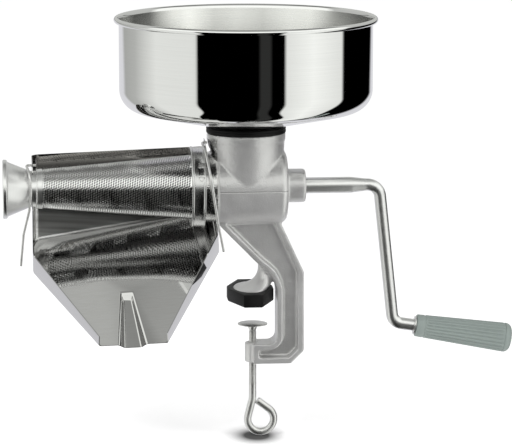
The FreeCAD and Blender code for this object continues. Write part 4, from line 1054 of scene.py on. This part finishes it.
def near_back_left(edge, reach):
    """Whether an edge lies within reach of the upright edge at the back's left."""
    return all(vert.co.x < CHUTE_LEFT + reach and vert.co.y > CHUTE_BACK - reach
               for vert in edge.verts)


def folds_where(test):
    return [edge for edge in folded.edges if len(edge.link_faces) == 2 and test(edge)]


groove_folds = folds_where(in_groove)
bevelled(folded, groove_folds, GROOVE_FOLD, 6)
bevelled(folded, folds_where(lambda edge: near_back_left(edge, 0.1)), WIDE_FOLD, 8, clamp=False)
plain_folds = folds_where(lambda edge: (
    edge.calc_face_angle(0.0) > math.radians(22)
    and (edge.calc_length() > SHORTEST_FOLD or near_back_left(edge, WIDE_FOLD + 0.2))))
bevelled(folded, plain_folds, PLAIN_FOLD, 5)
print("folds:", len(groove_folds), "in the groove and", len(plain_folds), "plain")

# %% [markdown]
# ## Thickness and cuts
# The folded surface is the sheet's outer side, so its thickness goes inwards. Round notches
# let the end plates sit on the funnel's sleeve and on the casting's spigot, and small holes
# take the clips.

# %% Thickness, notches and holes of the chute
folded = through_modifiers(folded, ("SOLIDIFY", {"thickness": CHUTE_SHEET, "offset": -1.0,
                                                 "use_even_offset": True}))


def notch(place, radius, width):
    """The room for a round neck, open to the front."""
    bore = Rod((place - width / 2, 0, 0), X_AXIS, radius, 64).run(width).end()
    gate = bmesh.new()
    bmesh.ops.create_cube(gate, size=1.0, matrix=Matrix.Translation((place, -radius, 0))
                          @ Matrix.Diagonal((width, 2 * radius, 2 * radius, 1)))
    return [bore, gate]


LEFT_PIVOT = Vector((0, 2.0, LEFT_NECK + 5.0))
RIGHT_PIVOT = Vector((0, 0, RIGHT_NECK + EAR_RISE))
WIRE = 1.25
wire_holes = [Rod((place - 5, pivot.y, pivot.z), X_AXIS, WIRE + 0.25, 24).run(10).end()
              for place, pivot in ((CHUTE_LEFT, LEFT_PIVOT),
                                   (right_plate_x(RIGHT_PIVOT.z), RIGHT_PIVOT))]
folded = carved(folded, notch(CHUTE_LEFT, LEFT_NECK, 7.0)
                + notch(right_plate_x(0), RIGHT_NECK, 22.0) + wire_holes)
finished(folded, "chute_sheet", "base", "stainless", chute_steel, "juice_chute", sharp=24)

# %% [markdown]
# ## Wire clips
# Each clip is one bent wire that hangs from a hole in an end plate and closes the notch in
# front of the neck. A rod that follows the wire's corners makes both.

# %% Clips
front = -(CONE_SMALL - CONE_SHEET + WIRE + 1.6)
low = CONE_SMALL - CONE_SHEET
left_wire = [Vector(point) for point in (
    (CHUTE_LEFT + 4.125, LEFT_PIVOT.y, LEFT_PIVOT.z),
    (CHUTE_LEFT - 5.5, LEFT_PIVOT.y, LEFT_PIVOT.z),
    (CHUTE_LEFT - 2.4, front + 2.05, low), (CHUTE_LEFT - 1.2, front, 0),
    (CHUTE_LEFT - 3.0, front - 1.0, -low), (CHUTE_LEFT - 9.0, front - 1.0, -42.0),
    (CHUTE_LEFT - 12.0, front - 1.0, -73.0))]
clip = Rod(left_wire[0], -X_AXIS, WIRE, 16).through(left_wire[1:], (2.5, 8, 20, 15, 20))
finished(clip.end(0.7), "left_wire", "left_clip", "zinc_steel", zinc, "clip_left")
over = NUT + WIRE
right_hole = right_plate_x(RIGHT_PIVOT.z)
right_wire = [Vector(point) for point in (
    (right_hole + 1.8, RIGHT_PIVOT.y, RIGHT_PIVOT.z),
    (NUT_RIGHT - 2.0, RIGHT_PIVOT.y, RIGHT_PIVOT.z),
    (NUT_RIGHT, -26.5, over - 3.5), (NUT_RIGHT + 4.455, -over - 0.5, 13.92),
    (NUT_RIGHT + 11.055, -over + 1.0, -30.0), (NUT_RIGHT + 16.5, -over - 0.5, -58.0))]
clip = Rod(right_wire[0], -X_AXIS, WIRE, 16).through(right_wire[1:], (2.5, 12, 14, 20))
finished(clip.end(0.7), "right_wire", "right_clip", "zinc_steel", zinc, "clip_right")

# %% [markdown]
# ## Crank and grip
# The crank is one bent rod: thick in the bearing, thinner along the arm and on the pin that
# carries the grip. It grows from the shaft's inner end, thins in small steps, and goes round
# its two bends.

# %% Crank
SHAFT, ARM, PIN, TAPER_STEPS = 8.0, 6.1, 5.2, 8
SHAFT_START, SHAFT_RUN = 12.0, 93.0
REACH, DROP, CRANK_LEAN, PIN_SLOPE = 133.5, 141.0, 15.1, 0.155
GRIP_START, GRIP_LENGTH, PIN_END, WASHER_ROOM = 23.2, 98.0, 93.0, 1.7
crank_corner = Vector((REACH + CRANK_LEAN, 0, -DROP))
pin_way = Vector((1, 0, -PIN_SLOPE)).normalized()
crank = Rod((SHAFT_START, 0, 0), X_AXIS, SHAFT, 48).run(SHAFT_RUN)
for step in range(TAPER_STEPS):
    crank.run(2.0, (ARM / SHAFT) ** (1 / TAPER_STEPS))
crank.through([Vector((REACH, 0, 0)), crank_corner,
               crank_corner + pin_way * (GRIP_START - WASHER_ROOM)], (13.0, 11.0), steps=18)
crank.run(0.01, PIN / ARM)
crank.through([crank_corner + pin_way * (GRIP_START + PIN_END)], ())
finished(crank.end(1.0), "crank_bar", "crank", "bright_steel", crank_steel, "crank_rod")

# %% [markdown]
# ## The grip
# The grip is moulded with fine ribs along it. A bevel on each rib would be heavy, so rings of
# corners are stacked along the pin, and each is pushed in and out round the axis by a wave
# whose share fades at the grip's ends.

# %% Rings of the grip, stacked along the pin
ON_PIN = (Matrix.Translation(crank_corner + pin_way * GRIP_START)
          @ Z_AXIS.rotation_difference(pin_way).to_matrix().to_4x4())
RIBS, RIB_DEPTH, GRIP_NEAR, GRIP_FAR, RIBBED_END = 22, 1.1, 11.2, 14.8, 91.0
RIB_SHARPNESS, GRIP_BORE, BORE_END, CAP_SEAT = 1.6, PIN + 0.06, 86.0, 9.05


def grip_radius(z):
    """The grip widens evenly towards its far end."""
    return GRIP_NEAR + (GRIP_FAR - GRIP_NEAR) * z / RIBBED_END


def stacked(stations, sides):
    """Rings of (place, radius, share of ribs), each grown from the one before."""
    bm = bmesh.new()
    made = bmesh.ops.create_circle(bm, cap_ends=False, radius=stations[0][1], segments=sides)
    verts = made["verts"]
    bmesh.ops.translate(bm, verts=verts, vec=(0, 0, stations[0][0]))
    ring = edges_of(verts)
    for place, radius, ribs in stations[1:]:
        verts, ring = grown(bm, ring)
        for vert in verts:
            angle = math.atan2(vert.co.y, vert.co.x)
            groove = (0.5 - 0.5 * math.cos(RIBS * angle)) ** RIB_SHARPNESS
            size = radius - RIB_DEPTH * ribs * groove
            vert.co = (size * math.cos(angle), size * math.sin(angle), place)
    return bm


grip_rings = [(BORE_END, GRIP_BORE, 0), (0.4, GRIP_BORE, 0), (0.3, PIN + 0.5, 0),
              (0.3, GRIP_NEAR - 0.9, 0), (0.55, GRIP_NEAR - 0.3, 0), (1.2, GRIP_NEAR, 0),
              (7.6, grip_radius(7.6), 0), (8.2, grip_radius(8.2) - 0.5, 0),
              (8.9, grip_radius(8.9) - 0.6, 0), (9.6, grip_radius(9.6), 0.1),
              (10.6, grip_radius(10.6), 0.7), (12.2, grip_radius(12.2), 1.0),
              (38.0, grip_radius(38.0), 1.0), (64.0, grip_radius(64.0), 1.0),
              (87.0, grip_radius(87.0), 1.0), (89.2, grip_radius(89.2), 0.7),
              (90.2, grip_radius(90.2) - 0.3, 0.1), (RIBBED_END, GRIP_FAR - 0.7, 0),
              (RIBBED_END, CAP_SEAT, 0), (BORE_END, CAP_SEAT, 0), (BORE_END, GRIP_BORE, 0)]
grip = stacked(grip_rings, RIBS * 10)
grip.transform(ON_PIN)
finished(grip, "grip_body", "grip", "grip_plastic", grip_plastic, "crank_grip", sharp=50)

# %% [markdown]
# ## Cap and washer
# A rounded cap closes the grip's far end, and a washer keeps the grip off the arm. Both are
# round about the pin, so they are turned upright and then laid along it.

# %% Cap and washer of the grip
CAP_CORNER, WASHER = 6.15, 9.2
cap_outline = ([(0, RIBBED_END), (0, GRIP_LENGTH), (8.0, GRIP_LENGTH)]
               + arc((8.6, RIBBED_END + 0.8), CAP_CORNER, 86, 0, 12)
               + [(GRIP_FAR - 0.05, RIBBED_END + 0.2), (GRIP_FAR - 0.4, RIBBED_END)])
cap = turned(cap_outline, steps=96)
cap.transform(ON_PIN)
finished(cap, "grip_end", "grip", "grip_plastic", grip_plastic, "grip_cap", sharp=40)
washer = turned([(GRIP_BORE, 0.1 - WASHER_ROOM), (WASHER, 0.1 - WASHER_ROOM),
                 (WASHER, -0.05), (GRIP_BORE, -0.05)], steps=64, edge=0.2)
washer.transform(ON_PIN)
finished(washer, "grip_ring", "crank", "zinc_steel", zinc, "grip_washer")

# %% [markdown]
# ## Inside pieces
# The auger, its pin, the bush, the washer, the seals and the grip's retainer hardly show.
# Their solids have the right shape, so each is copied, merged and shaded smooth.

# %% Auger and the fittings on the shaft
for node, body, slot_name, finish in (
        ("auger", "crank", "auger_plastic", auger_plastic),
        ("drive_pin", "crank", "zinc_steel", zinc),
        ("grip_retainer", "crank", "zinc_steel", zinc),
        ("bearing_bush", "base", "bearing_plastic", bearing_plastic),
        ("thrust_washer", "base", "bearing_plastic", bearing_plastic),
        ("shaft_seal", "base", "black_rubber", rubber),
        ("cone_seal", "base", "black_rubber", rubber)):
    placed(smooth_copy(node), node + "_smooth", body, slot_name, finish, node, sharp=35)

# %% [markdown]
# ## The clamp's pad
# A faceted rubber pad sits on the jaw's foot. Its plan is an octagon that is drawn out to a
# prism, its lower edges are bevelled, and an oval pocket is carved out for the foot.

# %% Pad
PAD_LOW, PAD_RIM, PAD_WIDE, PAD_LONG, PAD_X = -115.5, 13.0, 23.0, 43.0, 4.0
PAD_END, PAD_SIDE = 9.5, 8.0
FOOT_WIDE, FOOT_LONG, POCKET_FLOOR, POCKET_TOP = 17.0, 29.0, 7.8, 30.0
plan = [(PAD_WIDE, -PAD_SIDE), (PAD_WIDE, PAD_SIDE), (PAD_END, PAD_LONG), (-PAD_END, PAD_LONG),
        (-PAD_WIDE, PAD_SIDE), (-PAD_WIDE, -PAD_SIDE), (-PAD_END, -PAD_LONG), (PAD_END, -PAD_LONG)]
pad = prism([(PAD_X + x, y, PAD_LOW) for x, y in plan], (0, 0, PAD_RIM))
lower = [edge for edge in pad.edges if all(vert.co.z < PAD_LOW + 1 for vert in edge.verts)]
bevelled(pad, lower, 1.6, 2, clamp=False)
pocket = turned([(0, POCKET_FLOOR), (FOOT_WIDE, POCKET_FLOOR), (FOOT_WIDE, POCKET_TOP),
                 (0, POCKET_TOP)], steps=96)
bmesh.ops.scale(pocket, verts=pocket.verts, vec=(1.0, FOOT_LONG / FOOT_WIDE, 1.0))
bmesh.ops.translate(pocket, verts=pocket.verts, vec=(PAD_X, 0, PAD_LOW))
pad = carved(pad, [pocket])
soften(pad, 0.7, above=30)
finished(pad, "pad_rubber", "base", "black_rubber", rubber, "clamp_pad", sharp=30)

# %% [markdown]
# ## Disc and cup
# Under the table a disc spreads the clamp's force, and a cup holds it on the screw's end. Both
# are turned. They rise and sink with the screw but don't turn with it, so they ride on a body
# of their own.

# %% Disc and cup
SCREW_X, DISC_TOP, DISC, DISC_HEIGHT = 6.5, -139.6, 15.0, 2.55
CUP, CUP_BORE, CUP_HEIGHT = 4.4, 2.6, 4.6


def on_screw(bm):
    """Moves what was drawn about the upright axis to the screw's axis."""
    bmesh.ops.translate(bm, verts=bm.verts, vec=(SCREW_X, 0, 0))
    return bm


disc_outline = [(0, DISC_TOP), (DISC - 0.5, DISC_TOP), (DISC, DISC_TOP - 0.3),
                (DISC, DISC_TOP - 0.9), (DISC - 1.2, DISC_TOP - 1.3), (8.0, DISC_TOP - 1.9),
                (CUP + 0.4, DISC_TOP - DISC_HEIGHT), (0, DISC_TOP - DISC_HEIGHT)]
finished(on_screw(turned(disc_outline, steps=96)), "clamp_disc", "disc", "zinc_steel", zinc,
         "pressure_disc")
cup_top = DISC_TOP - DISC_HEIGHT - 0.05
cup_low = cup_top - CUP_HEIGHT
cup_outline = [(0, cup_top), (CUP, cup_top), (CUP, cup_top - 1.6),
               (CUP - 0.6, cup_low + 0.8), (CUP - 1.1, cup_low), (CUP_BORE, cup_low),
               (CUP_BORE, cup_top - 1.5), (0, cup_top - 1.5)]
finished(on_screw(turned(cup_outline, steps=64)), "clamp_cup", "disc", "zinc_steel", zinc,
         "swivel_cup")

# %% [markdown]
# ## Thread
# The screw is taken to have a standard thread with a pitch of 1.25 mm. One V is spun, and
# rises by one pitch in each turn, so that its end meets its start and the thread is one
# surface. Planes cut both ends square.

# %% Thread
THREAD_PITCH, SCREW, THREAD_TOP, THREAD_LOW = 1.25, 4.0, -147.1, -202.0
ROOT, CREST, THREAD_TURNS, STEPS_AROUND = 3.30, SCREW - 0.02, 49, 28
thread = bmesh.new()
profile = [(ROOT, 0.0), (ROOT, 0.12), (CREST, 0.55), (CREST, 0.70), (ROOT, 1.13),
           (ROOT, THREAD_PITCH)]
corners = [thread.verts.new((radius, 0, THREAD_LOW - THREAD_PITCH + along))
           for radius, along in profile]
edges = [thread.edges.new(pair) for pair in zip(corners, corners[1:])]
bmesh.ops.spin(thread, geom=corners + edges, cent=(0, 0, 0), axis=(0, 0, 1),
               dvec=(0, 0, THREAD_PITCH / STEPS_AROUND), angle=FULL_TURN * THREAD_TURNS,
               steps=STEPS_AROUND * THREAD_TURNS, use_merge=False, use_duplicate=False)
bmesh.ops.remove_doubles(thread, verts=thread.verts, dist=0.01)
for place, side in ((THREAD_LOW, -1), (THREAD_TOP - 0.4, 1)):
    cut_off(thread, (0, 0, place), (0, 0, side))
bmesh.ops.holes_fill(thread, edges=thread.edges)
print("thread faces:", len(thread.faces))

# %% [markdown]
# ## Eye
# Below the thread the rod is bent to a closed eye, which a hand turns. The rod leaves the
# screw by a knee, meets the ring where a straight run touches it, goes round, and runs off
# again towards the screw. Two touching points, found by trigonometry, fix all of that.

# %% Eye of the screw
EYE_ROD, EYE, EYE_Z, EYE_X, NECK_OF_EYE = 3.75, 13.2, -238.4, 8.2, -213.0
EYE_START, EYE_BEND, RING_STEPS, NECK_OF_SCREW = SCREW - 0.5, 8.0, 40, 2.3
eye_centre = Vector((SCREW_X + EYE_X, 0, EYE_Z))


def on_eye(degrees):
    """A place on the middle line of the eye's ring."""
    angle = math.radians(degrees)
    return eye_centre + Vector((math.cos(angle), 0, math.sin(angle))) * EYE


def touching(point, side):
    """Where a straight run from a point meets the eye's ring."""
    away = point - eye_centre
    return math.degrees(math.atan2(away.z, away.x) + side * math.acos(EYE / away.length))


knee = Vector((SCREW_X, 0, NECK_OF_EYE - 4.0))
free_end = Vector((SCREW_X + 5.3, 0, NECK_OF_EYE - 6.5))
first, last = touching(knee, 1), touching(free_end, -1)
last += 360.0 if last < first else 0.0
into_ring = (on_eye(first) - knee).normalized()
eye = Rod((SCREW_X, 0, THREAD_LOW + 1.0), -Z_AXIS, EYE_START, 32).run(1.0)
eye.run(0.01, EYE_ROD / EYE_START)
bend_reach = EYE_BEND * math.tan(eye.direction.angle(into_ring) / 2)
eye.run((eye.place - knee).length - bend_reach)
eye.bend(into_ring, EYE_BEND, 6)
eye.run((on_eye(first) - eye.place).length)
turn = Matrix.Rotation(math.radians((last - first) / RING_STEPS), 4, -Y_AXIS)
for step in range(RING_STEPS):
    verts = eye.grow()
    bmesh.ops.rotate(eye.bm, verts=verts, cent=eye_centre, matrix=turn)
    eye.place = turn @ (eye.place - eye_centre) + eye_centre
    eye.direction = turn @ eye.direction
eye.run((free_end - on_eye(last)).length)
neck = turned([(0, cup_low + 0.2), (NECK_OF_SCREW, cup_low + 0.2), (NECK_OF_SCREW, THREAD_TOP),
               (ROOT, THREAD_TOP - 0.2), (ROOT, THREAD_TOP - 0.8), (0, THREAD_TOP - 0.8)],
              steps=48)
screw = joined(on_screw(joined(thread, neck)), eye.end(0.9))
finished(screw, "screw_with_eye", "screw", "zinc_steel", zinc, "clamp_screw", sharp=38)

# %% [markdown]
# ## Floor
# The floor is white paper that glows a little, so that the camera sees it as white as the
# world behind it. The photograph has one small dark patch under the screw's eye. These lamps
# give no such shadow, so it is painted on the floor as a soft ellipse, and it stays there when
# a pose lifts the eye.

# %% Floor
FLOOR_GAP, FLOOR_SIZE = 0.0004, 12.0
CONTACT_X, CONTACT_CORE, CONTACT_EDGE, CONTACT_DEPTH, PAPER_GLOW = 10.5, 0.012, 0.042, 0.55, 0.44
floor_z = cad_box[0].z - FLOOR_GAP


def staged(name, bm, finish):
    """Puts a piece of the studio into the scene."""
    mesh = bpy.data.meshes.new(name)
    bm.to_mesh(mesh)
    bm.free()
    piece = bpy.data.objects.new(name, mesh)
    scene.collection.objects.link(piece)
    mesh.materials.append(finish.material)
    return piece


ground = bmesh.new()
bmesh.ops.create_grid(ground, x_segments=1, y_segments=1, size=FLOOR_SIZE,
                      matrix=Matrix.Translation((0, 0, floor_z)))
paper = Finish("white_paper", (0.9, 0.9, 0.9), 0.0, 0.9, specular_ior_level=0.0)
x, y, _ = paper.parts(paper.moved((row_place(CONTACT_X, 0, 0).x, 0, 0)))
contact = 1.0 - (x * x + y * y * CONTACT_DEPTH).root().band(CONTACT_CORE, CONTACT_EDGE)
paper.set("Base Color", paper.blend(contact * contact, grey(0.9), grey(0.12)))
paper.set("Emission Color", paper.blend(contact * contact, grey(1.0), grey(0.0)))
paper.set("Emission Strength", PAPER_GLOW)
ground_piece = staged("ground", ground, paper)
ground_piece.visible_glossy = False

# %% [markdown]
# ## A room for reflections
# Polished steel shows the room, so the room matters more than the lamps. A large ball that
# only reflections see stands round the object. Round its middle it has the upright bands of a
# photo studio: pale grey at the left, black in front, white at the right and black behind
# that. Above them is a bright strip and then a dim ceiling, and low at the back it is pale.

# %% Studio ball for reflections
BALL_RADIUS, BALL_HEIGHT, CEILING_START = 1.5, 0.24, 2.5
TUCK_POWER, TUCK = 7.6, 0.74
ball = bmesh.new()
bmesh.ops.create_icosphere(ball, subdivisions=4, radius=BALL_RADIUS,
                           matrix=Matrix.Translation((0, 0, BALL_HEIGHT)))
room = Finish("studio_room", (0, 0, 0), 0.0, 1.0, specular_ior_level=0.0)
x, y, z = [part / BALL_RADIUS for part in room.parts(room.moved((0, 0, BALL_HEIGHT)))]
below = (z * -1.0).at_least(0.0)
tucked = below ** TUCK_POWER * TUCK
around = x.angle_from(tucked - y) / FULL_TURN + 0.5
steep = z.reckon("ARCSINE", z) / math.pi + 0.5


def stops(span, *pairs):
    """The stops of a ramp over an angle, as degrees and a level, a little green like the photo."""
    return [(degrees / span + 0.5, (value * 0.985, value, value * 0.96))
            for degrees, value in pairs]


bands = room.node("ShaderNodeValToRGB", {"stops": stops(
    360.0, (-180, 0.30), (-120, 0.50), (-90, 0.86), (-52, 0.84), (-48.5, 0.80), (-46.5, 0.0),
    (6, 0.0), (8.5, 0.030), (16, 0.030), (18, 0.0), (28.5, 0.0), (30.5, 0.86), (56, 1.05),
    (80, 0.90), (88, 0.86), (90.5, 0.0), (174, 0.0), (180, 0.30))}, {0: around})
ceiling = room.node("ShaderNodeValToRGB", {"stops": stops(
    180.0, (3, 0.0), (6, 1.1), (42, 1.2), (50, 0.34), (66, 0.36), (71, 0.62), (74, 0.60),
    (79, 0.38), (90, 0.36))}, {0: steep})
ceiling = room.blend(y.band(0.0, 0.16) * 0.5, ceiling, grey(0.0))
lower_room = 1.0 - (steep - (0.5 + CEILING_START / 180.0)).band(0.0, 0.004)
room_tone = room.blend(lower_room, ceiling, bands)
behind = (y + below * 0.55).band(0.84, 0.92) * lower_room
room.set("Emission Color", room.blend(behind, room_tone, (0.74, 0.74, 0.77, 1.0)))
room.set("Emission Strength", 1.0)
studio = staged("studio_ball", ball, room)
for way in ("camera", "diffuse", "shadow", "transmission", "volume_scatter"):
    setattr(studio, "visible_" + way, False)

# %% [markdown]
# ## World and lamps
# The world is white for the camera, which gives the clean background, and dimmer for what it
# lights. Two soft lamps from the front give the matt pieces their shape. They don't show in
# the steel, because the ball already gives it its bright and dark bands.

# %% World and lamps
WORLD_LIGHT = 0.62
world = bpy.data.worlds.new("studio")
scene.world = world
world.use_nodes = True
sky = world.node_tree.nodes["Background"]
sky.inputs["Color"].default_value = (1, 1, 1, 1)
rays = world.node_tree.nodes.new("ShaderNodeLightPath")
level = world.node_tree.nodes.new("ShaderNodeMapRange")
level.inputs["To Min"].default_value = WORLD_LIGHT
level.inputs["To Max"].default_value = 1.0
world.node_tree.links.new(rays.outputs["Is Camera Ray"], level.inputs["Value"])
world.node_tree.links.new(level.outputs["Result"], sky.inputs["Strength"])


def lamp(name, place, target, size, power):
    """A round area lamp that faces a target and isn't seen in reflections."""
    data = bpy.data.lights.new(name, "AREA")
    data.shape = "DISK"
    data.size = size
    data.energy = power
    made = bpy.data.objects.new(name, data)
    scene.collection.objects.link(made)
    made.location = place
    made.rotation_mode = "QUATERNION"
    made.rotation_quaternion = (Vector(target) - Vector(place)).to_track_quat("-Z", "Y")
    made.visible_glossy = False
    print("lamp", name, "gives", power, "W")


lamp("key", (-0.9, -1.0, 1.6), (0, 0, 0.1), 0.9, 14.0)
lamp("fill", (1.3, -0.7, 1.0), (0, 0, 0.1), 0.9, 6.0)
